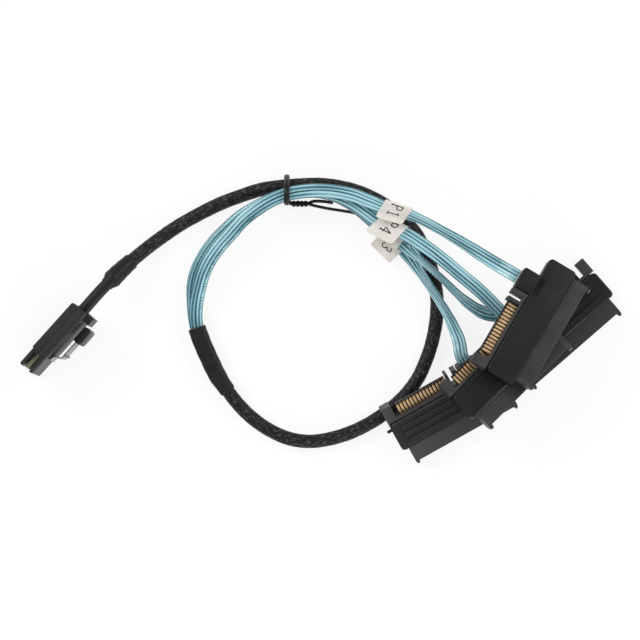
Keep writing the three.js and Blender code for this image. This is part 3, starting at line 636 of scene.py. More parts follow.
def principled(name: str, **values: float | Point) -> tuple[bpy.types.Material, Graph, bpy.types.Node]:
    """Starts a material with a Principled shader whose constants are set on its own sockets."""
    material = bpy.data.materials.new(name)
    material.use_nodes = True
    material.node_tree.nodes.clear()
    graph = Graph(material.node_tree)
    shader = graph.node("ShaderNodeBsdfPrincipled")
    end = graph.node("ShaderNodeOutputMaterial")
    graph.feed(end.inputs["Surface"], shader.outputs[0])
    for key, value in values.items():
        shader.inputs[key.replace("_", " ")].default_value = value
    return material, graph, shader


def shade(colour: Point, factor: float) -> Point:
    """Returns a colour made lighter or darker, with full alpha."""
    return (*(min(1.0, c * factor) for c in colour[:3]), 1.0)


@dataclass(frozen=True)
class Moulded:
    """A moulded plastic with fine pits carrying painted shade, a slow change of tone and handled patches.
    """

    name: str
    colour: Point
    roughness: float = 0.5
    tone: float = 0.12
    pit_scale: float = 3500.0
    pit_depth: float = 0.00002
    specular: float = 0.5

    def material(self) -> bpy.types.Material:
        """Builds the material."""
        made, g, shader = principled(self.name, Specular_IOR_Level=self.specular)
        place = g.place()
        grain = use_group(g, Group.GRAIN, Place=place, Scale=self.pit_scale)
        patch = use_group(g, Group.SMUDGE, Place=place)["Patch"]
        dark, light = shade(self.colour, 1 - self.tone), shade(self.colour, 1 + self.tone)
        mottled = g.blend(grain["Tone"], dark, light)
        # Painted shade: the colour darkens towards 0.6 of itself in the low parts of the pits, where the
        # bump sinks.
        pit_shade = g.math("MULTIPLY", g.math("SUBTRACT", 1.0, grain["Pits"]), 0.25)
        g.feed(shader.inputs["Base Color"], g.blend(pit_shade, mottled, shade(self.colour, 0.6)))
        low, high = self.roughness - 0.06, self.roughness + 0.08
        g.feed(shader.inputs["Roughness"], g.remap(patch, 0, 1, (low, high)))
        g.feed(shader.inputs["Normal"], g.bump(grain["Pits"], self.pit_depth))
        return made


@dataclass(frozen=True)
class Metal:
    """A bare metal with fine lines from rolling or plating."""

    name: str
    colour: Point
    roughness: float = 0.25
    metallic: float = 1.0
    line_scale: float = 2500.0
    dulled: float = 0.82
    patch_scale: float = 400.0
    line_depth: float = 0.000004

    def material(self) -> bpy.types.Material:
        """Builds the material."""
        made, g, shader = principled(self.name, Metallic=self.metallic)
        place = g.place()
        x, y, z = g.split(place)
        lines = g.noise(g.vector(x, g.math("MULTIPLY", y, 0.2), z), self.line_scale, 2.0)
        patch = use_group(g, Group.SMUDGE, Place=place, Scale=self.patch_scale)["Patch"]
        colour = g.blend(patch, shade(self.colour, 1), shade(self.colour, self.dulled))
        g.feed(shader.inputs["Base Color"], colour)
        low, high = self.roughness, self.roughness + 0.15
        g.feed(shader.inputs["Roughness"], g.remap(lines, 0.3, 0.7, (low, high)))
        g.feed(shader.inputs["Normal"], g.bump(lines, self.line_depth))
        return made


@dataclass(frozen=True)
class Shrunk:
    """Shrunk tubing: satin black with faint wrinkles across it and the form of what it holds; its colour
    carries painted shade in the wrinkles' troughs and painted light on their ridges.
    """

    name: str
    colour: Point
    roughness: float = 0.42
    wrinkle: float = 0.00004

    def material(self) -> bpy.types.Material:
        """Builds the material."""
        made, g, shader = principled(self.name, Specular_IOR_Level=0.3)
        place, uv = g.place(), g.uv()
        across, on, _ = g.split(uv)
        folds = g.noise(g.vector(g.math("MULTIPLY", across, 6.0), g.math("MULTIPLY", on, 0.9)), 1.0, 4.0)
        grain = use_group(g, Group.GRAIN, Place=place, Scale=2500.0)
        # Painted light and shade: the colour goes to 0.8 of itself where the folds are low and 1.25 where
        # they are high, following the same folds as the bump.
        colour = g.blend(g.remap(folds, 0.35, 0.7), shade(self.colour, 0.8), shade(self.colour, 1.25))
        g.feed(shader.inputs["Base Color"], g.blend(grain["Tone"], colour, shade(self.colour, 1)))
        rough = g.remap(folds, 0.3, 0.7, (self.roughness, self.roughness + 0.14))
        g.feed(shader.inputs["Roughness"], rough)
        height = g.math("MULTIPLY_ADD", grain["Pits"], 0.2, folds)
        g.feed(shader.inputs["Normal"], g.bump(height, self.wrinkle))
        return made


@dataclass(frozen=True)
class Braided:
    """A woven sleeve of fine black strands, with painted pale glints where single strands catch the
    light, and painted shade in the gaps between strands.
    """

    name: str
    colour: Point
    glint: Point
    strands: float
    rate: float

    def material(self) -> bpy.types.Material:
        """Builds the material."""
        made, g, shader = principled(self.name, Specular_IOR_Level=0.25)
        uv = g.uv()
        fine = use_group(g, Group.BRAID, Place=uv, Strands=self.strands, Rate=self.rate)
        relief = g.tone()
        # Painted light: pale glints on the crowns of the strands, and painted shade that darkens the
        # colour to 0.3 of itself in the gaps between strands.
        lit = g.math("MULTIPLY", g.remap(relief, 0.45, 0.95), fine["Glint"])
        painted_shade = g.blend(g.remap(relief, 0.1, 0.6), shade(self.colour, 0.3), shade(self.colour, 1))
        g.feed(shader.inputs["Base Color"], g.blend(lit, painted_shade, shade(self.glint, 1)))
        g.feed(shader.inputs["Roughness"], g.remap(fine["Glint"], 0, 1, (0.55, 0.32)))
        g.feed(shader.inputs["Normal"], g.bump(fine["Height"], 0.00003))
        return made


@dataclass(frozen=True)
class Jacket:
    """A glossy drawn jacket, with painted highlight over each conductor and painted shade at its edges
    and in its groove.
    """

    name: str
    # The first colour is the painted highlight, the second the jacket's tone between, and the third the
    # painted shade.
    light: Point
    middle: Point
    painted_shade: Point
    roughness: float = 0.22

    def material(self) -> bpy.types.Material:
        """Builds the material."""
        made, g, shader = principled(
            self.name, Coat_Weight=0.5, Coat_Roughness=0.12, Specular_IOR_Level=0.6
        )
        uv = g.uv()
        lines = use_group(g, Group.STREAKS, Place=uv, Lines=26.0)
        # Painted light: the tone is high on the crests over the conductors and low at the edges and in
        # the groove. The colour runs from painted shade through the middle tone to painted highlight, and
        # slow streaks move it along the ribbon.
        crest = g.tone()
        painted_light_wander = g.math("MULTIPLY_ADD", lines["Long"], 0.5, -0.25)
        crest = g.math("ADD", crest, painted_light_wander)
        lower = g.blend(g.remap(crest, 0.0, 0.45), shade(self.painted_shade, 1), shade(self.middle, 1))
        colour = g.blend(g.remap(crest, 0.45, 0.9), lower, shade(self.light, 1))
        # Painted glints: small pale flecks at 1.15 times the highlight colour.
        glint = g.math("MULTIPLY", lines["Glints"], 0.35)
        g.feed(shader.inputs["Base Color"], g.blend(glint, colour, shade(self.light, 1.15)))
        g.feed(shader.inputs["Roughness"], g.remap(lines["Glints"], 0, 1, (self.roughness, 0.4)))
        g.feed(shader.inputs["Normal"], g.bump(lines["Long"], 0.00002))
        return made


@dataclass(frozen=True)
class Film:
    """A printed film: matt, slightly mottled, with a faint grain of its print layer whose low spots carry
    painted shade.
    """

    name: str
    colour: Point
    roughness: float = 0.6

    def material(self) -> bpy.types.Material:
        """Builds the material."""
        made, g, shader = principled(self.name)
        place = g.place()
        grain = use_group(g, Group.GRAIN, Place=place, Scale=6000.0)
        colour = g.blend(grain["Tone"], shade(self.colour, 0.96), shade(self.colour, 1.03))
        # Painted shade: the colour darkens slightly towards 0.6 of itself in the low spots of the grain,
        # where the bump sinks.
        grain_shade = g.math("MULTIPLY", g.math("SUBTRACT", 1.0, grain["Pits"]), 0.06)
        g.feed(shader.inputs["Base Color"], g.blend(grain_shade, colour, shade(self.colour, 0.6)))
        g.feed(shader.inputs["Roughness"], g.remap(grain["Pits"], 0, 1, (self.roughness, 0.72)))
        g.feed(shader.inputs["Normal"], g.bump(grain["Pits"], 0.000006))
        return made


@dataclass(frozen=True)
class Laminate:
    """A circuit board: green lacquer over a glass weave, with a beige cut edge."""

    name: str
    colour: Point
    cut: Point = (0.42, 0.36, 0.22)
    weave: float = 1800.0

    def material(self) -> bpy.types.Material:
        """Builds the material."""
        made, g, shader = principled(self.name, Coat_Weight=0.4, Coat_Roughness=0.2)
        x, y, z = g.split(g.place())
        cloth = g.noise(g.vector(x, y, g.math("MULTIPLY", z, 6.0)), self.weave, 2.0)
        layers = g.noise(g.vector(x, y, z), 500.0, 3.0)
        colour = g.blend(g.remap(cloth, 0.35, 0.65), shade(self.colour, 0.8), shade(self.colour, 1.2))
        colour = g.blend(g.remap(layers, 0.4, 0.7), colour, shade(self.cut, 1))
        g.feed(shader.inputs["Base Color"], colour)
        g.feed(shader.inputs["Roughness"], g.remap(cloth, 0.3, 0.7, (0.35, 0.55)))
        g.feed(shader.inputs["Normal"], g.bump(cloth, 0.00001))
        return made


@dataclass(frozen=True)
class Finishes:
    """Every finish of the cable, built once."""

    black: Moulded = Moulded("satin_black_moulding", (0.0095, 0.009, 0.0088), 0.42, 0.15, specular=0.28)
    grey: Moulded = Moulded("dark_grey_housing", (0.043, 0.041, 0.043), 0.45, 0.14, 2600.0, specular=0.3)
    plug: Moulded = Moulded("plug_moulding", (0.022, 0.0205, 0.0195), 0.48, 0.16, specular=0.3)
    pad: Moulded = Moulded("latch_pad_moulding", (0.012, 0.0115, 0.011), 0.42, 0.12, specular=0.3)
    glue: Moulded = Moulded("poured_glue", (0.05, 0.045, 0.04), 0.6, 0.2)
    tie: Moulded = Moulded("tie_coating", (0.008, 0.0075, 0.0072), 0.35, 0.15, 2000.0, specular=0.3)
    tongue: Moulded = Moulded("contact_carrier", (0.014, 0.0125, 0.0115), 0.5, 0.12, specular=0.3)
    ink: Moulded = Moulded("label_ink", (0.02, 0.018, 0.018), 0.6, 0.1)
    # Painted highlight: a pale grey that stands for the light caught by the chamfered end of each post.
    tip: Moulded = Moulded("worn_post_tip", (0.35, 0.33, 0.32), 0.45, 0.15)
    steel: Metal = Metal("rolled_spring_steel", (0.30, 0.29, 0.275), 0.3)
    gold: Metal = Metal("gold_flashed_contact", (0.83, 0.56, 0.30), 0.3, 0.85)
    shrink: Shrunk = Shrunk("shrunk_tube", (0.0085, 0.0076, 0.0072))
    braid: Braided = Braided("braided_black", (0.0045, 0.0042, 0.0044), (0.10, 0.10, 0.108), 26.0, 1.1)
    # Teal jacket: painted highlight colour, middle tone, painted shade colour.
    teal: Jacket = Jacket(
        "teal_jacket", (0.43, 0.71, 0.78), (0.13, 0.34, 0.40), (0.010, 0.085, 0.12)
    )
    label: Film = Film("label_film", (0.79, 0.75, 0.70))
    board: Laminate = Laminate("board_laminate", (0.10, 0.14, 0.07))

    def build(self) -> dict[str, bpy.types.Material]:
        """Returns each finish's material by its field's name."""
        return {key: finish.material() for key, finish in self.__dict__.items()}


# Cable


@dataclass
class Cable:
    """The neck behind the plug, its boot, the braided sleeve and the splitter."""

    exit: tuple[Point, Point] = ((-0.081862, 0.01641, 0.011047), (-0.080925, 0.017451, 0.011047))
    points: tuple[Point, ...] = (
        (-0.0771, 0.0217, 0.0109), (-0.0739, 0.0252, 0.0102), (-0.0717, 0.0274, 0.0095),
        (-0.0698, 0.0294, 0.0087), (-0.0669, 0.0322, 0.0072), (-0.064, 0.0348, 0.0058),
        (-0.0588, 0.0391, 0.0039), (-0.0537, 0.0429, 0.0028), (-0.0485, 0.0464, 0.0025),
        (-0.0417, 0.0502, 0.0025), (-0.0348, 0.0536, 0.0025), (-0.028, 0.0562, 0.0025),
        (-0.0211, 0.0584, 0.0029), (-0.0164, 0.0592, 0.0036), (-0.0119, 0.0597, 0.0039),
        (-0.0074, 0.06, 0.0036), (-0.0006, 0.0602, 0.0028), (0.0062, 0.0594, 0.0025),
        (0.0131, 0.0575, 0.0025), (0.0199, 0.0543, 0.0025), (0.0254, 0.0505, 0.0025),
        (0.0295, 0.0466, 0.0025), (0.0327, 0.0427, 0.0025), (0.036, 0.0355, 0.0025),
        (0.0381, 0.029, 0.0025), (0.0393, 0.0221, 0.0025), (0.0392, 0.0146, 0.0025),
        (0.0378, 0.0067, 0.0025), (0.0357, 0.0002, 0.0025), (0.0328, -0.0061, 0.0025),
        (0.0285, -0.0118, 0.0025), (0.0227, -0.0171, 0.0025), (0.0165, -0.0213, 0.0025),
        (0.0097, -0.0246, 0.0025), (0.0028, -0.0267, 0.0025), (-0.004, -0.0276, 0.0025),
        (-0.0109, -0.0267, 0.0025), (-0.0177, -0.0238, 0.0025), (-0.0239, -0.0195, 0.0025),
        (-0.0287, -0.0147, 0.0028), (-0.0326, -0.0096, 0.0031), (-0.0355, -0.0053, 0.0031),
        (-0.0383, 0.0004, 0.0031), (-0.0405, 0.0053, 0.0031), (-0.0417, 0.0084, 0.0031),
        (-0.0427, 0.0113, 0.0031),
    )  # fmt: skip
    neck_radius: float = 2.1
    neck_length: float = 15.6
    neck_sides: int = 32
    sleeve_radius: float = 2.4
    sleeve_relief: float = 0.16
    sleeve_strands: int = 8
    sleeve_rate: float = 0.20
    sleeve_sides: int = 72
    boot_span: tuple[float, float] = (13.0, 25.2)
    boot_radius: float = 3.12
    boot_end_radius: float = 2.7
    boot_taper: float = 3.0
    boot_wall: float = 0.35
    boot_slack: float = 0.12
    boot_lip: float = 0.2
    boot_sides: int = 36
    splitter_length: float = 24.4
    splitter_overlap: float = 8.0
    splitter_half: float = 3.06
    splitter_wall: float = 0.5
    splitter_round: float = 3.0
    splitter_corner: float = 1.5
    gap: float = 0.3
    route: Route = field(init=False)

    def __post_init__(self) -> None:
        """Lays the route from the inside of the plug to the end of the splitter."""
        self.route = Route([*self.exit, *self.points])

    def neck(self, material: bpy.types.Material) -> bpy.types.Object:
        """Wires under shrunk tube: a circle swelled by a slow wave along and round it."""
        at = self.route.steps(0, self.neck_length * MM, 0.5 * MM)
        turn = np.arange(self.neck_sides) * math.tau / self.neck_sides
        swell = 1 + 0.02 * np.sin(3 * turn[None, :] + at[:, None] / MM * 0.5)
        section = circle(np.full(len(at), self.neck_radius * 0.98), self.neck_sides) * swell[..., None]
        surface = self.route.swept(at, section)
        return new_piece("neck_tube", surface, material, replaces=["wire_neck"])

    def boot(self, material: bpy.types.Material) -> bpy.types.Object:
        """A shrunk boot: its radius rises from the neck along an eased step, and its end is square."""
        start, end = (s * MM for s in self.boot_span)
        lead = np.linspace(0, 1, 9)
        body = self.route.steps(start + self.boot_taper * MM, end - 0.35 * MM, 0.6 * MM)
        at = np.concatenate([start + lead[:-1] * self.boot_taper * MM, body, [end - 0.1 * MM, end]])
        ease = np.clip((at - start) / (self.boot_taper * MM), 0, 1)
        ease = ease * ease * (3 - 2 * ease)
        low = self.neck_radius + self.boot_slack
        widest = start + self.boot_taper * MM
        full = np.interp(at, [widest, end], [self.boot_radius, self.boot_end_radius])
        radius = low + (full - low) * ease
        radius[-1] -= self.boot_lip
        radius *= 1 + 0.012 * np.sin(at / MM * 2.1)
        turn = np.arange(self.boot_sides) * math.tau / self.boot_sides
        squash = 1 + 0.025 * np.cos(2 * turn)[None, :]
        outer = circle(radius, self.boot_sides) * squash[..., None]
        bore = np.maximum(radius - self.boot_wall, self.neck_radius)[::-1]
        inner = circle(bore, self.boot_sides)
        section = np.concatenate([outer, inner])
        surface = self.route.swept(np.concatenate([at, at[::-1]]), section, closed_rows=True)
        return new_piece("boot_tube", surface, material, replaces=["plug_boot"])

    def sleeve(self, material: bpy.types.Material) -> bpy.types.Object:
        """The braid: its radius is the greater of two families of strands that wind opposite ways.

        A strand's height is a rounded hump across it, raised where it passes over the other family
        and sunk where it passes under.
        """
        start = (self.neck_length + self.gap) * MM
        end = self.route.length - (self.splitter_length - self.splitter_overlap) * MM
        at = self.route.steps(start, end, 0.3 * MM)
        turn = (np.arange(self.sleeve_sides) / self.sleeve_sides)[None, :]
        run = at[:, None] / MM * self.sleeve_rate
        first, second = (self.sleeve_strands * turn + s * run for s in (1, -1))
        over = 0.5 + 0.5 * np.sin(math.pi * (first + second)) * np.sin(math.pi * (first - second))
        humps = [1 - (2 * (family % 1) - 1) ** 4 for family in (first, second)]
        weave = np.maximum(humps[0] * (0.55 + 0.45 * over), humps[1] * (1 - 0.45 * over))
        slow = 0.03 * np.sin(at / MM * 0.35) + 0.02 * np.sin(at / MM * 1.13)
        radius = self.sleeve_radius - self.sleeve_relief * (1 - weave) - 0.03 + slow[:, None] * 0.6
        angle = turn * math.tau
        section = np.stack([radius * np.cos(angle), radius * np.sin(angle)], -1)
        # The weave goes out as the tone that places the braid's painted shade and glints.
        surface = self.route.swept(at, section, tone=weave)
        self.sleeve_path = self.route.axes(at)[0]
        return new_piece("braid", surface, material, replaces=["braided_sleeve"], crease=180)

    def splitter(self, material: bpy.types.Material) -> bpy.types.Object:
        """A shrunk tube: round over the sleeve, and square with round corners over the ribbons."""
        length = self.route.length
        start = length - self.splitter_length * MM
        body = self.route.steps(length - (self.splitter_length - 0.3) * MM, length - 0.2 * MM, 0.5 * MM)
        at = np.concatenate([[start], body, [length]])
        share = np.clip((at - start) / MM / self.splitter_overlap, 0, 1)
        share = share * share * (3 - 2 * share)
        outline = rounded_outline(2 * self.splitter_half, 2 * self.splitter_half, self.splitter_corner, 9)
        ring = outline / np.linalg.norm(outline, axis=1, keepdims=True)
        mouth = np.ones(len(at))
        mouth[[0, -1]] -= 0.05
        ripple = 1 + 0.015 * np.sin(at / MM * 1.3 + 1)
        share = share[:, None, None]
        outer = ring * self.splitter_round * (1 - share) + outline * share
        outer = outer * (mouth * ripple)[:, None, None]
        inner = outer[::-1] * (1 - self.splitter_wall / self.splitter_half)
        there_and_back = np.concatenate([at, at[::-1]])
        surface = self.route.swept(there_and_back, np.concatenate([outer, inner]), closed_rows=True)
        return new_piece("splitter_tube", surface, material, replaces=["splitter"])

    def build(self, finish: dict[str, bpy.types.Material], tie: bpy.types.Object) -> None:
        neck, boot = self.neck(finish["shrink"]), self.boot(finish["shrink"])
        sleeve, splitter = self.sleeve(finish["braid"]), self.splitter(finish["shrink"])


GLYPHS: dict[str, tuple[tuple[Point, ...], ...]] = {
    "P": (((0.2, 0), (0.2, 0.5), (0.2, 1)), ((0.05, 0), (0.4, 0)),
          ((0.1, 1), (0.62, 1), (0.85, 0.9), (0.88, 0.75), (0.85, 0.6), (0.62, 0.5), (0.2, 0.5))),
    "1": (((0.5, 0), (0.5, 0.5), (0.5, 1)), ((0.5, 1), (0.2, 0.82)), ((0.18, 0), (0.82, 0))),
    "3": (((0.14, 0.86), (0.35, 1), (0.65, 1), (0.82, 0.82), (0.7, 0.6), (0.42, 0.53)),
          ((0.42, 0.53), (0.75, 0.45), (0.88, 0.25), (0.7, 0.04), (0.4, 0), (0.12, 0.12))),
    "4": (((0.66, 0), (0.66, 0.5), (0.66, 1)), ((0.66, 1), (0.36, 0.65), (0.06, 0.3)),
          ((0.06, 0.3), (0.5, 0.3), (0.95, 0.3)), ((0.46, 0), (0.86, 0))),
}  # fmt: skip


@dataclass(frozen=True)
class Flag:
    """How a label's flag stands out on the right of its pair, in millimetres."""

    beyond: float
    lift_deg: float
    skew: float
    digit: str = ""
    digit_place: float = 0.0
    length: float = 9.6
    hinge: float = 2.6
    glyph_height: float = 3.9
    glyph_width: float = 2.1
    doubled: float = 0.28

    @property
    def reach(self) -> float:
        """How far right of the route the flag ends."""
        return self.hinge + self.beyond * math.cos(math.radians(self.lift_deg))

    def height(self, x: np.ndarray) -> np.ndarray:
        """The height of the label's top: a low crown over the pair, then a straight flag."""
        crown = 0.56 + 0.1 * np.sqrt(np.clip(1 - (x / self.hinge) ** 2, 0, 1))
        return crown + np.clip(x - self.hinge, 0, None) * math.tan(math.radians(self.lift_deg))

    def profile(self) -> tuple[np.ndarray, np.ndarray]:
        """Points across the label's top, from its left edge to the end of the flag."""
        over = -self.hinge * np.cos(np.linspace(0, math.pi, 13))
        out = np.linspace(self.hinge, self.reach, 6)[1:]
        x = np.concatenate([over, out])
        return x, self.height(x)


@dataclass
class Pair:
    """Two flat ribbons side by side, with a label round them."""

    name: str
    row: int
    spread: float
    label_from: float
    entry: tuple[Point, Point]
    points: tuple[Point, ...]
    flag: Flag
    marked: tuple[tuple[float, float], ...] = ()
    # paler tilts the ribbons' painted highlight and shade, darker at the bundle end and paler at the
    # connector end.
    paler: float = 0.0
    route: Route = field(init=False)

    width: float = 2.2
    thickness: float = 1.0
    gap: float = 0.14
    swell: float = 1.062
    mark_inset: float = 1.1
    mark_width: float = 0.2
    mark_gap: float = 0.45
    glyph_stroke: float = 0.36
    sunk: float = -0.06
    proud: float = 0.035

    def __post_init__(self) -> None:
        """Lays the pair's route through the bundle and on to its connector."""
        self.paths: dict[int, np.ndarray] = {}
        self.route = Route([*bundle_points(self.row, self.spread), *self.points, *self.entry])

    def crest(self, s: np.ndarray) -> np.ndarray:
        """How near the share s across a ribbon is to the crest over a conductor, from 0 to 1."""
        return 0.5 + 0.5 * np.cos(2 * math.pi * (np.abs(s) - 0.5) / 0.98)

    def edge(self, s: np.ndarray) -> np.ndarray:
        """The share of the thickness left by the round edge: sqrt(1 - |s|^6)."""
        return np.sqrt(np.clip(1 - np.abs(s) ** 6, 0, 1))

    def half_height(self, s: np.ndarray) -> np.ndarray:
        """Half the thickness at the share s across: two round humps joined by a shallow groove."""
        return self.thickness / 2 * (0.80 + 0.20 * self.crest(s)) * self.edge(s)

    def section(self) -> tuple[np.ndarray, np.ndarray]:
        """The outline of a ribbon, and how near each of its points is to the crest over a conductor.

        Point k of its top lies at the share s = -cos(pi k / 16) across the width.
        """
        s = -np.cos(np.linspace(0, math.pi, 17))
        half, tone = self.half_height(s), self.crest(s) * self.edge(s)
        x = s * self.width / 2
        top = np.stack([x, half], -1)
        low = np.stack([x, -half], -1)[::-1][1:-1]
        return np.concatenate([top, low])[::-1], np.concatenate([tone, tone[::-1][1:-1]])[::-1]

    def ribbon(self, side: int, material: bpy.types.Material) -> bpy.types.Object:
        """Makes the ribbon on one side: -1 is the left and 1 the right of the way on."""
        word = "left" if side < 0 else "right"
        at = self.route.steps(0, self.route.length, 0.6 * MM)
        outline, crest = self.section()
        slide = side * (self.width + self.gap) / 2
        section = outline * [self.swell, 1.0] + [slide, 0]
        centre, _, right, _ = self.route.axes(at)
        # Painted light: the tone adds these slow waves and the paler tilt to the crest over each
        # conductor, and it sets where the jacket gets painted highlight and painted shade.
        painted_light_wander = 0.27 * np.sin(at / MM * 0.09 + self.row * 1.7 + side)
        painted_light_wander += 0.1 * np.sin(at / MM * 0.31 + 2 * side)
        painted_light_wander += self.paler * (2 * at / self.route.length - 1)
        tone = np.broadcast_to(crest, (len(at), len(crest))) + painted_light_wander[:, None]
        surface = self.route.swept(at, section, tone=tone)
        self.paths[side] = centre + right * slide * MM
        name, node = (f"{kind}_{self.name}_{word}" for kind in ("ribbon_jacket", "ribbon"))
        return new_piece(name, surface, material, replaces=[node])

    def marks(self, material: bpy.types.Material) -> bpy.types.Object:
        """Short printed strokes in groups on the outer half of the right ribbon."""
        rng = np.random.default_rng(7)
        parts = []
        for first, last in self.marked:
            at = first
            while at < last:
                for _ in range(int(rng.integers(2, 6))):
                    long = float(rng.uniform(0.25, 0.6))
                    reach = float(rng.uniform(0.55, 0.95))
                    across = self.mark_inset + reach * np.array([0, 0.5, 1])
                    line = np.column_stack([at + long * np.array([0, 0.4, 1]), across])
                    parts.append(self.stroke(line, self.mark_width, self.top_of_right))
                    at += long + self.mark_gap
                at += float(rng.uniform(1.2, 2.4))
        return new_piece(f"print_{self.name}", Surface.joined(parts), material)

    def top_of_right(self, x: np.ndarray) -> np.ndarray:
        """The height of the right ribbon's top at x, from the section's own humps and edges."""
        s = np.clip((x - (self.width + self.gap) / 2) / (self.width * self.swell / 2), -1, 1)
        return self.half_height(s)

    def spot(self, at: np.ndarray, x: np.ndarray, z: np.ndarray) -> np.ndarray:
        """Returns points x to the right and z above the route, in millimetres, at these distances."""
        centre, _, right, top = self.route.axes(at.ravel() * MM)
        points = centre + (right * x.ravel()[:, None] + top * z.ravel()[:, None]) * MM
        return points.reshape(*at.shape, 3)

    def stroke(
        self,
        line: np.ndarray,
        width: float,
        height: Callable[[np.ndarray], np.ndarray],
        skew: float = 0.0,
    ) -> Surface:
        """A flat printed stroke along a line on a surface.

        Each ring has four points: half the width to either side of the line, under and over the
        surface.

        Args:
            line: (distance, x) points, in millimetres.
            width: of the stroke.
            height: gives the height of the surface at x.
            skew: how far back the line leans for each millimetre to the right.

        Returns:
            The closed surface.
        """
        on = np.gradient(line, axis=0)
        on /= np.linalg.norm(on, axis=1, keepdims=True)
        side = np.stack([-on[:, 1], on[:, 0]], -1) * width / 2
        ring = np.stack([line - side, line + side, line + side, line - side], 1)
        lift = np.array([self.sunk, self.sunk, self.proud, self.proud])[None, :]
        x = ring[..., 1]
        return Surface.grid(self.spot(ring[..., 0] - skew * x, x, height(x) + lift))

    def label(self, film: bpy.types.Material, ink: bpy.types.Material) -> list[bpy.types.Object]:
        """A film wrapped round the pair, with its two ends joined in a flag on the right.

        At a distance d from either end, the flag's outer edge lies in by r - sqrt(r^2 - (r - d)^2)
        within the corner radius r of the end.
        """
        flag = self.flag
        ends = np.array([0, 0.08, 0.2, 0.4, 0.7, 1.0])
        middle = np.linspace(1.6, flag.length - 1.6, 9)
        along = np.concatenate([ends, middle, (flag.length - ends)[::-1]])
        near = np.minimum(along, flag.length - along)
        inset = 1 - np.sqrt(np.clip(1 - (1 - np.clip(near, 0, 1)) ** 2, 0, 1))
        top_x, top_z = flag.profile()
        low_z = np.where(top_x > flag.hinge, top_z - flag.doubled, -top_z)
        x = np.concatenate([top_x, top_x[::-1]])
        z = np.concatenate([top_z, low_z[::-1]])
        share = np.clip((x - flag.hinge) / (flag.reach - flag.hinge), 0, 1)
        xs = x[None, :] - share[None, :] * inset[:, None]
        zs = np.broadcast_to(z, xs.shape)
        at = self.label_from + along[:, None] - flag.skew * xs
        body = Surface.grid(self.spot(at, xs, zs))
        node = f"label_{self.name}"
        wrap = new_piece(f"{node}_film", body, film, replaces=[node], crease=30)
        if not flag.digit:
            return [wrap]
        foot = self.label_from + (flag.length - flag.glyph_height) / 2
        letter_place = flag.digit_place - flag.glyph_width * 1.35
        strokes = []
        for glyph, middle_x in (("P", letter_place), (flag.digit, flag.digit_place)):
            for line in GLYPHS[glyph]:
                points = np.array(line, float)
                at = foot + points[:, 1] * flag.glyph_height
                across = middle_x + (points[:, 0] - 0.5) * flag.glyph_width
                place = np.column_stack([at, across])
                strokes.append(self.stroke(place, self.glyph_stroke, flag.height, flag.skew))
        text = new_piece(f"{node}_print", Surface.joined(strokes), ink)
        return [wrap, text]

    def build(self, finish: dict[str, bpy.types.Material]) -> None:
        left, right = (self.ribbon(side, finish["teal"]) for side in (-1, 1))
        on_it = self.label(finish["label"], finish["ink"])
        if self.marked:
            on_it.append(self.marks(finish["ink"]))


BUNDLE: tuple[Point, ...] = (
    (-0.0405, 0.0053, 0.0, 0), (-0.0417, 0.0084, 0.0, 0), (-0.0427, 0.0113, 0.0, 0),
    (-0.0433, 0.016, 0.0002, 0.2), (-0.0432, 0.0208, 0.0007, 0.5), (-0.0426, 0.0256, 0.0014, 0.9),
    (-0.0413, 0.0304, 0.0022, 1), (-0.039, 0.035, 0.003, 1), (-0.0359, 0.0394, 0.0038, 1),
    (-0.0319, 0.0437, 0.0045, 0.9), (-0.0273, 0.0483, 0.005, 0.6), (-0.0222, 0.0519, 0.0053, 0.3),
    (-0.017, 0.0548, 0.0055, 0.1), (-0.0119, 0.0567, 0.0055, 0), (-0.0064, 0.0577, 0.0055, 0),
)  # fmt: skip
BUNDLE_HEIGHT = 0.0031
ROW_PITCH = 0.00114


def bundle_points(row: int, spread: float) -> list[Point]:
    """A pair's points in the bundle: the bundle's own, raised to its row and slid sideways.

    Args:
        row: the pair's row, from the lowest.
        spread: its slide to the left, in millimetres, times each point's share.

    Returns:
        Points of x, y and z.
    """
    points = np.array(BUNDLE)
    low = BUNDLE_HEIGHT - 1.5 * ROW_PITCH + row * ROW_PITCH
    before = np.concatenate([points[:1], points[:-1]])[:, :2]
    after = np.concatenate([points[1:], points[-1:]])[:, :2]
    on = (after - before) / np.linalg.norm(after - before, axis=1, keepdims=True)
    side = np.stack([-on[:, 1], on[:, 0]], -1) * (spread * MM * points[:, 3])[:, None]
    return [tuple(p) for p in np.column_stack([points[:, :2] + side, low + points[:, 2]])]


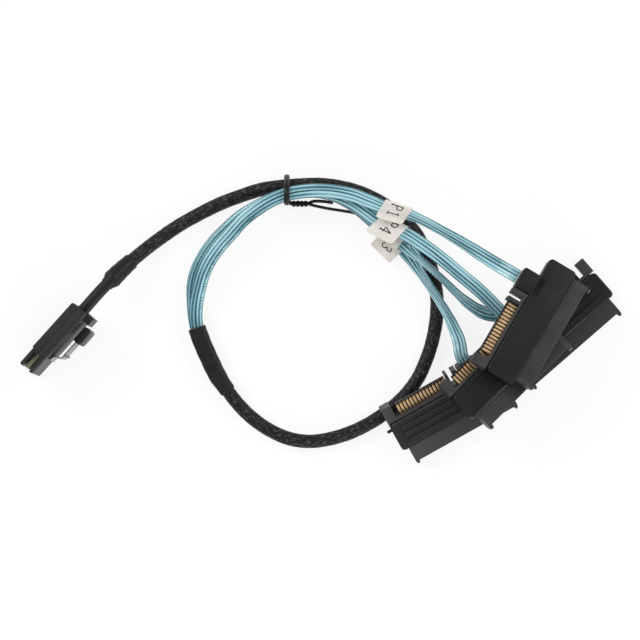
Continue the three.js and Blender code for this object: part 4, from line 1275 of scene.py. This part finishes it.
def pairs() -> list[Pair]:
    """Returns the four pairs, each with its route from the bundle to its connector."""
    return [
        Pair(
            "P3", 0, 1.4, 105.4,
            ((0.047564, 0.001631, 0.009807), (0.048499, -0.000042, 0.009234)),
            (
                (-0.0013, 0.0578, 0.00695, 0), (0.0045, 0.0564, 0.0064, 0), (0.0097, 0.0539, 0.0054, 0),
                (0.0138, 0.0509, 0.0044, 0), (0.0176, 0.0476, 0.0037, 0), (0.0213, 0.0442, 0.0034, 0),
                (0.0254, 0.0404, 0.0034, 0), (0.0289, 0.0369, 0.0034, 8), (0.0316, 0.0334, 0.0035, 28),
                (0.0343, 0.0293, 0.0049, 50), (0.0371, 0.025, 0.0069, 55), (0.0398, 0.0207, 0.0076, 55),
                (0.0427, 0.0159, 0.0079, 50), (0.045, 0.0112, 0.0083, 35), (0.0467, 0.0066, 0.0091, 14),
            ),
            Flag(4.0, 0.0, 0.0, "3", 3.4),
        ),
        Pair(
            "P2", 1, -0.8, 101.2,
            ((0.062467, 0.014872, 0.004), (0.063779, 0.013363, 0.004)),
            (
                (-0.0013, 0.0578, 0.0081, 0), (0.0045, 0.0565, 0.0078, 0), (0.0097, 0.0541, 0.0073, 0),
                (0.0138, 0.0512, 0.0068, 0), (0.0179, 0.0476, 0.0064, 0), (0.0213, 0.0447, 0.0062, 0),
                (0.0251, 0.0418, 0.0062, 0), (0.0285, 0.0392, 0.0062, 0), (0.0312, 0.0368, 0.0072, 40),
                (0.034, 0.0343, 0.0078, 65), (0.0374, 0.0312, 0.0079, 65), (0.0412, 0.0278, 0.0073, 65),
                (0.0458, 0.0233, 0.0064, 60), (0.0511, 0.0188, 0.0051, 38), (0.056, 0.0161, 0.0043, 12),
            ),
            Flag(0.5, 0.0, 0.0), ((76.0, 91.0),),
        ),
        Pair(
            "P4", 2, 0.8, 101.0,
            ((0.061008, 0.016322, 0.013861), (0.06242, 0.014905, 0.013861)),
            (
                (-0.0013, 0.0578, 0.00925, 0), (0.0045, 0.0566, 0.0092, 0), (0.0097, 0.0545, 0.0091, 0),
                (0.0138, 0.0519, 0.009, 0), (0.0182, 0.0486, 0.009, 0), (0.0234, 0.0458, 0.009, 0),
                (0.0282, 0.0434, 0.0091, 0), (0.0336, 0.04, 0.0098, 0), (0.0405, 0.0349, 0.0107, 0),
                (0.0473, 0.0292, 0.0117, 0), (0.0542, 0.0233, 0.0128, 0),
            ),
            Flag(2.8, 0.0, 0.3, "4", 1.9),
        ),
        Pair(
            "P1", 3, -1.2, 99.1,
            ((0.064487, 0.02952, 0.020559), (0.066207, 0.028501, 0.020488)),
            (
                (-0.0013, 0.058, 0.0104, 0), (0.0045, 0.0576, 0.0106, 0), (0.0104, 0.0564, 0.0112, 0),
                (0.0158, 0.0544, 0.0121, 15), (0.0199, 0.0528, 0.0129, 30), (0.0244, 0.0513, 0.0134, 30),
                (0.0285, 0.0501, 0.0137, 38), (0.0336, 0.048, 0.0139, 50), (0.0405, 0.0443, 0.0147, 50),
                (0.0473, 0.0403, 0.0156, 40), (0.0542, 0.0359, 0.0167, 22), (0.0602, 0.0321, 0.0182, 8),
            ),
            Flag(1.6, 26.0, 0.25, "1", 1.2), ((13.0, 53.0),), 0.2,
        ),
    ]  # fmt: skip


@dataclass
class TwistTie:
    """A coated wire bent round the sleeve and the bundle, and twisted on itself."""

    upper: tuple[Point, ...] = (
        (0.0039, 0.0539, 0.0046), (0.0002, 0.0544, 0.0044), (-0.0028, 0.0544, 0.0043),
    )  # fmt: skip
    twist: tuple[Point, Point] = ((-0.0048, 0.0536, 0.004), (-0.0102, 0.0536, 0.0046))
    loop: tuple[Point, ...] = (
        (-0.0117, 0.0537, 0.0062), (-0.0119, 0.0534, 0.0086), (-0.0119, 0.0539, 0.0113),
        (-0.0119, 0.0568, 0.0123), (-0.0119, 0.0595, 0.0109), (-0.0119, 0.0619, 0.0079),
        (-0.0119, 0.0631, 0.0046), (-0.0119, 0.0622, 0.0017), (-0.0119, 0.0598, 0.0006),
        (-0.0118, 0.0571, 0.0012), (-0.0116, 0.0547, 0.0029),
    )  # fmt: skip
    lower: tuple[Point, ...] = (
        (-0.0022, 0.0529, 0.0033), (0.0028, 0.0519, 0.0026),
        (0.008, 0.0511, 0.002), (0.0118, 0.0504, 0.0016),
    )  # fmt: skip
    twist_radius: float = 0.58
    turns: float = 2.0
    sides: int = 14
    pitch: float = 0.25

    def helix(self, phase: float) -> list[Point]:
        """Points that wind about the line of the twist: centre + radius * (a cos t + b sin t)."""
        start, end = (np.array(point) for point in self.twist)
        share = np.linspace(0, 1, 9)[:, None]
        way = (end - start) / np.linalg.norm(end - start)
        first = np.cross(UP, way)
        first /= np.linalg.norm(first)
        second = np.cross(way, first)
        angle = phase + self.turns * math.tau * share
        around = first * np.cos(angle) + second * np.sin(angle)
        return [tuple(p) for p in start + (end - start) * share + self.twist_radius * MM * around]

    def strand(self, points: Sequence[Point], across: np.ndarray, radii: tuple[float, float]) -> Surface:
        """A strand of oval section, whose wider way is carried along without twist.

        Args:
            points: the points that the strand runs through.
            across: the direction of the section's wider way at the start.
            radii: half the section's width and half its thickness, in millimetres.

        Returns:
            The closed surface.
        """
        route = Route(points)
        at = route.steps(0, route.length, self.pitch * MM)
        centre, on, _, _ = route.axes(at)
        sides = []
        for way in on:
            across = across - way * (across @ way)
            across = across / np.linalg.norm(across)
            sides.append(across)
        side = np.array(sides)
        top = np.cross(side, on)
        ease = np.clip(np.minimum(at, route.length - at) / (self.pitch * MM), 0.55, 1)
        ripple = (ease * (1 + 0.03 * np.sin(at / MM * 5.2)))[:, None, None]
        oval = circle(1.0, self.sides) * radii * ripple * MM
        rings = centre[:, None] + side[:, None] * oval[..., :1] + top[:, None] * oval[..., 1:]
        return Surface.grid(rings, v=at / MM)

    def build(self, material: bpy.types.Material) -> bpy.types.Object:
        """Makes the loop and the two twisted ends."""
        out, back = self.helix(-math.pi / 2), self.helix(math.pi / 2)[::-1]
        level = np.array([0.0, 1.0, 0.0])
        parts = [
            self.strand([*self.upper, *out, *self.loop[:1]], level, (0.55, 0.5)),
            self.strand(self.loop, np.array([1.0, 0.0, 0.0]), (0.95, 0.52)),
            self.strand([*self.loop[-1:], *back, *self.lower], level, (0.58, 0.52)),
        ]
        return new_piece("wire_tie", Surface.joined(parts), material, replaces=["twist_tie"])


# Connectors and plug


@dataclass
class DriveConnector:
    """A moulded drive connector with a power plug on its back, in millimetres in its own frame.

    x runs along the block, y towards the cable side and z up; the block's base is z = 0.
    """

    letter: str
    place: Placement
    ribbed: bool = False
    plain: bool = False

    length: float = 44.0
    depth: float = 10.4
    skin: tuple[float, float] = (0.3, 7.7)
    front: float = -16.0
    band: tuple[float, float] = (2.2, 41.8)
    housing_top: float = 7.0
    cable_block: tuple[float, float] = (29.4, 36.9)
    tongue: tuple[float, float] = (5.25, 24.33)
    tongue_height: tuple[float, float] = (3.3, 4.7)
    first_contact: float = 5.45
    pitch: float = 1.27
    contacts: int = 15
    post: float = 1.4
    tip_span: tuple[float, float] = (1.25, 0.85)
    tip_height: tuple[float, float] = (3.1, 5.84)
    slot_height: float = 4.9
    slot_contacts: tuple[float, float] = (-15.1, -11.7)
    rib_pitch: float = 0.95
    rib_height: float = 0.16

    def piece(
        self,
        name: str,
        parts: Sequence[Surface],
        material: bpy.types.Material,
        slot: Slot,
        *nodes: str,
    ) -> bpy.types.Object:
        """Makes a piece of this connector from shells in its own frame."""
        surface = self.place.placed(Surface.joined(parts))
        replaced = [f"{node}_{self.letter}" for node in nodes]
        return new_piece(f"{name}_{self.letter}", surface, material, replaces=replaced)

    def block(self, material: bpy.types.Material) -> None:
        """The black block: as moulded with its ridges, or plain where its flat side is up."""
        if not self.plain:
            softened(f"overmould_{self.letter}", f"moulding_{self.letter}", material, 0.35)
            return
        low, high = self.skin
        start, end = self.cable_block
        parts = [
            rounded_slab((0, -self.depth, low), (self.length, 0, high), 1.5, 0.45, 7, 4),
            rounded_slab((start, -3.0, low), (end, 5.9, high), 0.9, 0.45, 7, 4),
        ]
        self.piece("moulding", parts, material, Slot.BLACK, "overmould")

    def gate(self, material: bpy.types.Material) -> None:
        """The stub left by the mould at the near end of the block."""
        self.piece("gate_stub", [bar((-1.6, -3.3, 3.5), (0.6, -2.3, 4.5), 0.25)], material, Slot.BLACK)

    def drive_side(
        self, grey: bpy.types.Material, gold: bpy.types.Material, tip: bpy.types.Material
    ) -> None:
        """The grey drive plug, its comb, pale caps that paint the highlight on its post ends and the row
        of contacts in its slot.
        """
        softened(f"drive_housing_{self.letter}", f"drive_plug_{self.letter}", grey, 0.12)
        start, end = self.band
        (near, far), (low, top) = self.tip_span, self.tip_height
        # Painted highlight: pale caps a little larger than the post ends stand for the light on their
        # chamfers.
        tips = [
            bar((x + 0.25, self.front - near, low), (x + 1.15, self.front - far, top), 0.12)
            for x in (start, end - self.post)
        ]
        self.piece("post_tips", tips, tip, Slot.GREY)
        rows = np.arange(6.0, self.length - 6.0, self.pitch)
        near, far = self.slot_contacts
        top = self.slot_height
        strips = [bar((x, near, top - 0.8), (x + 0.75, far, top), 0.06) for x in rows]
        self.piece("drive_pins", strips, gold, Slot.GOLD, "drive_contacts")
        if self.ribbed:
            self.piece("comb", self.comb(), grey, Slot.GREY)

    def comb(self) -> list[Surface]:
        """Low ribs across the top of the drive plug, and the bead that they run into at the block."""
        start, end = self.band
        low, high = self.housing_top - 0.1, self.housing_top + self.rib_height
        ribs = [
            bar((x, self.front + 0.3, low), (x + 0.6, -self.depth - 0.25, high), 0.05)
            for x in np.arange(start + 1.9, end - 2.4, self.rib_pitch)
        ]
        bead = bar((start + 0.1, -self.depth - 0.35, low), (end - 0.1, -self.depth - 0.05, high), 0.05)
        return [*ribs, bead]

    def power_side(
        self, grey: bpy.types.Material, gold: bpy.types.Material, dark: bpy.types.Material
    ) -> None:
        """The power plug: a dark tongue with gold contacts, and pale ends of the contacts past them."""
        softened(f"power_housing_{self.letter}", f"power_plug_{self.letter}", grey, 0.15)
        low, high = self.tongue_height
        start, end = self.tongue
        self.piece("tongue", [bar((start, -1.5, low), (end, 5.2, high), 0.12)], dark, Slot.BLACK)
        rows = self.first_contact + np.arange(self.contacts) * self.pitch
        blades = [
            rounded_slab((x, 0.6, high - 0.2), (x + 0.8, 4.45, high + 0.12), 0.2, 0.05, 3, 2)
            for x in rows
        ]
        ends = [bar((x + 0.3, 4.75, high - 0.2), (x + 0.52, 4.97, high + 0.05), 0.04) for x in rows]
        self.piece("power_contacts", [*blades, *ends], gold, Slot.GOLD, "power_tongue")

    def build(self, finish: dict[str, bpy.types.Material]) -> None:
        """Makes the connector's pieces."""
        self.block(finish["black"])
        if self.letter == "A":
            self.gate(finish["black"])
        self.drive_side(finish["grey"], finish["gold"], finish["tip"])
        self.power_side(finish["grey"], finish["gold"], finish["tongue"])
        dress_node(f"adapter_board_{self.letter}", finish["board"])


def dress_node(node: str, material: bpy.types.Material) -> None:
    """Gives a carried-over solid its finish."""
    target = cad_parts[node]
    target.data.materials.clear()
    target.data.materials.append(material)


CONNECTORS = {
    "A": Placement(
        (0.0219, -0.0204, 0.003626), (0.872922, 0.48786, 0), (-0.467411, 0.836333, 0.286486)
    ),
    "B": Placement(
        (0.04315, -0.01305, 0.014599), (0.701192, 0.698749, -0.141705), (-0.705872, 0.70834, 0)
    ),
    "C": Placement(
        (0.054542, -0.003392, 0.020852), (0.500621, 0.854736, -0.137129), (-0.859827, 0.509334, 0.035719)
    ),
    "D": Placement((0.092866, 0.030432, 0.008), (-0.75471, -0.656059, 0), (-0.656059, 0.75471, 0)),
}
PLUG_PLACE = Placement(
    (-0.08265, 0.0186, 0), (-0.669131, -0.743145, 0), (0.739724, -0.66605, 0.095846)
)


@dataclass
class Plug:
    """The controller plug with its sprung latch."""

    place: Placement = PLUG_PLACE
    seam: tuple[float, float] = (2.66, 3.04)
    seam_edge: float = 0.04

    def build(self, finish: dict[str, bpy.types.Material]) -> None:
        """Makes the plug's pieces."""
        softened("plug_back_shell", "back_shell", finish["plug"], 0.2)
        softened("plug_latch_shell", "latch_shell", finish["plug"], 0.2)
        softened("release_pad", "latch_pad", finish["pad"], 0.25, Body.LATCH)
        softened("latch_leaf", "latch_spring", finish["steel"], 0.08, Body.LATCH)
        near, far = self.seam
        across = [bar((0.25, near, z), (20.35, far, z + 1.1), self.seam_edge) for z in (0.15, 20.35)]
        along = [bar((0.1, near, z), (1.2, far, z + 7.0), self.seam_edge) for z in (0.6, 14.0)]
        seam = self.place.placed(Surface.joined([*across, *along]))
        new_piece("shell_seam", seam, finish["plug"])
        dress_node("paddle_card", finish["board"])
        dress_node("solder_block", finish["glue"])


# Camera, stage and light


@dataclass(frozen=True)
class Studio:
    """The camera straight above, a pale table and soft light."""

    eye: Point = (-0.0006, 0.0139, 1.5)
    lens: float = 246.4
    table: float = 4.0
    table_white: float = 0.86
    table_glow: float = 1.04
    glow_share: float = 0.82
    surround: float = 0.45

    def camera(self) -> None:
        """Sets a long lens straight above, with the top of the picture towards +Y."""
        data = bpy.data.cameras.new("camera")
        data.lens = self.lens
        data.sensor_width = 36.0
        data.clip_start, data.clip_end = 0.05, 20.0
        camera = bpy.data.objects.new("camera", data)
        camera.location = self.eye
        bpy.context.scene.collection.objects.link(camera)
        bpy.context.scene.camera = camera

    def floor(self) -> None:
        """A white table that keeps the object's shadow."""
        half = self.table / 2
        mesh = bpy.data.meshes.new("table")
        mesh.from_pydata(
            [(-half, -half, 0), (half, -half, 0), (half, half, 0), (-half, half, 0)], [], [(0, 1, 2, 3)]
        )
        table = bpy.data.objects.new("table", mesh)
        bpy.context.scene.collection.objects.link(table)
        material = bpy.data.materials.new("white_table")
        material.use_nodes = True
        material.node_tree.nodes.clear()
        g = Graph(material.node_tree)
        diffuse = g.node("ShaderNodeBsdfDiffuse")
        diffuse.inputs["Color"].default_value = (*[self.table_white] * 3, 1)
        glow = g.node("ShaderNodeEmission")
        glow.inputs["Strength"].default_value = self.table_glow
        path = g.node("ShaderNodeLightPath")
        seen = g.math("MAXIMUM", path.outputs["Is Camera Ray"], path.outputs["Is Transmission Ray"])
        seen = g.math("MAXIMUM", seen, path.outputs["Is Glossy Ray"])
        mix = g.node("ShaderNodeMixShader")
        g.feed(mix.inputs[0], g.math("MULTIPLY", seen, self.glow_share))
        g.feed(mix.inputs[1], diffuse.outputs[0])
        g.feed(mix.inputs[2], glow.outputs[0])
        end = g.node("ShaderNodeOutputMaterial")
        g.feed(end.inputs["Surface"], mix.outputs[0])
        mesh.materials.append(material)

    def lamp(self, name: str, place: Point, size: float, power: float) -> None:
        """Adds a soft square lamp that faces the middle of the table."""
        data = bpy.data.lights.new(name, "AREA")
        data.shape = "SQUARE"
        data.size = size
        data.energy = power
        lamp = bpy.data.objects.new(name, data)
        away = np.array(place, float)
        z = away / np.linalg.norm(away)
        x = np.cross(UP, z) if abs(z[2]) < 0.99 else np.array([1.0, 0, 0])
        x /= np.linalg.norm(x)
        turn = Matrix([(*r, 0) for r in np.array([x, np.cross(z, x), z]).T] + [(0, 0, 0, 1)])
        lamp.matrix_world = Matrix.Translation(place) @ turn
        bpy.context.scene.collection.objects.link(lamp)

    def world(self) -> None:
        """A white surround to the eye and in gloss, and a plain level of light on the object."""
        world = bpy.data.worlds.new("surround")
        bpy.context.scene.world = world
        world.use_nodes = True
        world.node_tree.nodes.clear()
        g = Graph(world.node_tree)
        path = g.node("ShaderNodeLightPath")
        back = g.node("ShaderNodeBackground")
        back.inputs["Color"].default_value = (1, 1, 1, 1)
        seen = path.outputs["Is Camera Ray"]
        g.feed(back.inputs["Strength"], g.remap(seen, 0, 1, (self.surround, 1.0)))
        end = g.node("ShaderNodeOutputWorld")
        g.feed(end.inputs["Surface"], back.outputs[0])

    def light(self) -> None:
        """Sets the lamps, the surround and the plain view."""
        self.lamp("left_lamp", (-1.1, 0.9, 1.1), 0.9, 14.0)
        self.lamp("right_lamp", (1.2, 0.7, 1.2), 0.9, 10.0)
        self.lamp("near_lamp", (0.1, -1.4, 1.0), 0.9, 7.0)
        self.lamp("edge_lamp", (1.5, -1.3, 0.35), 0.7, 12.0)
        self.world()
        bpy.context.scene.view_settings.view_transform = "Standard"


def main() -> None:
    """Builds the camera, the cords, the plug, the connectors and the stage in turn."""
    logging.basicConfig(level=logging.INFO, format="%(message)s")
    studio = Studio()
    studio.camera()
    make_shared_groups()
    finish = Finishes().build()
    Cable().build(finish, TwistTie().build(finish["tie"]))
    for pair in pairs():
        pair.build(finish)
    Plug().build(finish)
    for letter, place in CONNECTORS.items():
        DriveConnector(letter, place, ribbed=letter in "BC", plain=letter == "C").build(finish)
    studio.floor()
    studio.light()


if __name__ == "__main__":
    main()
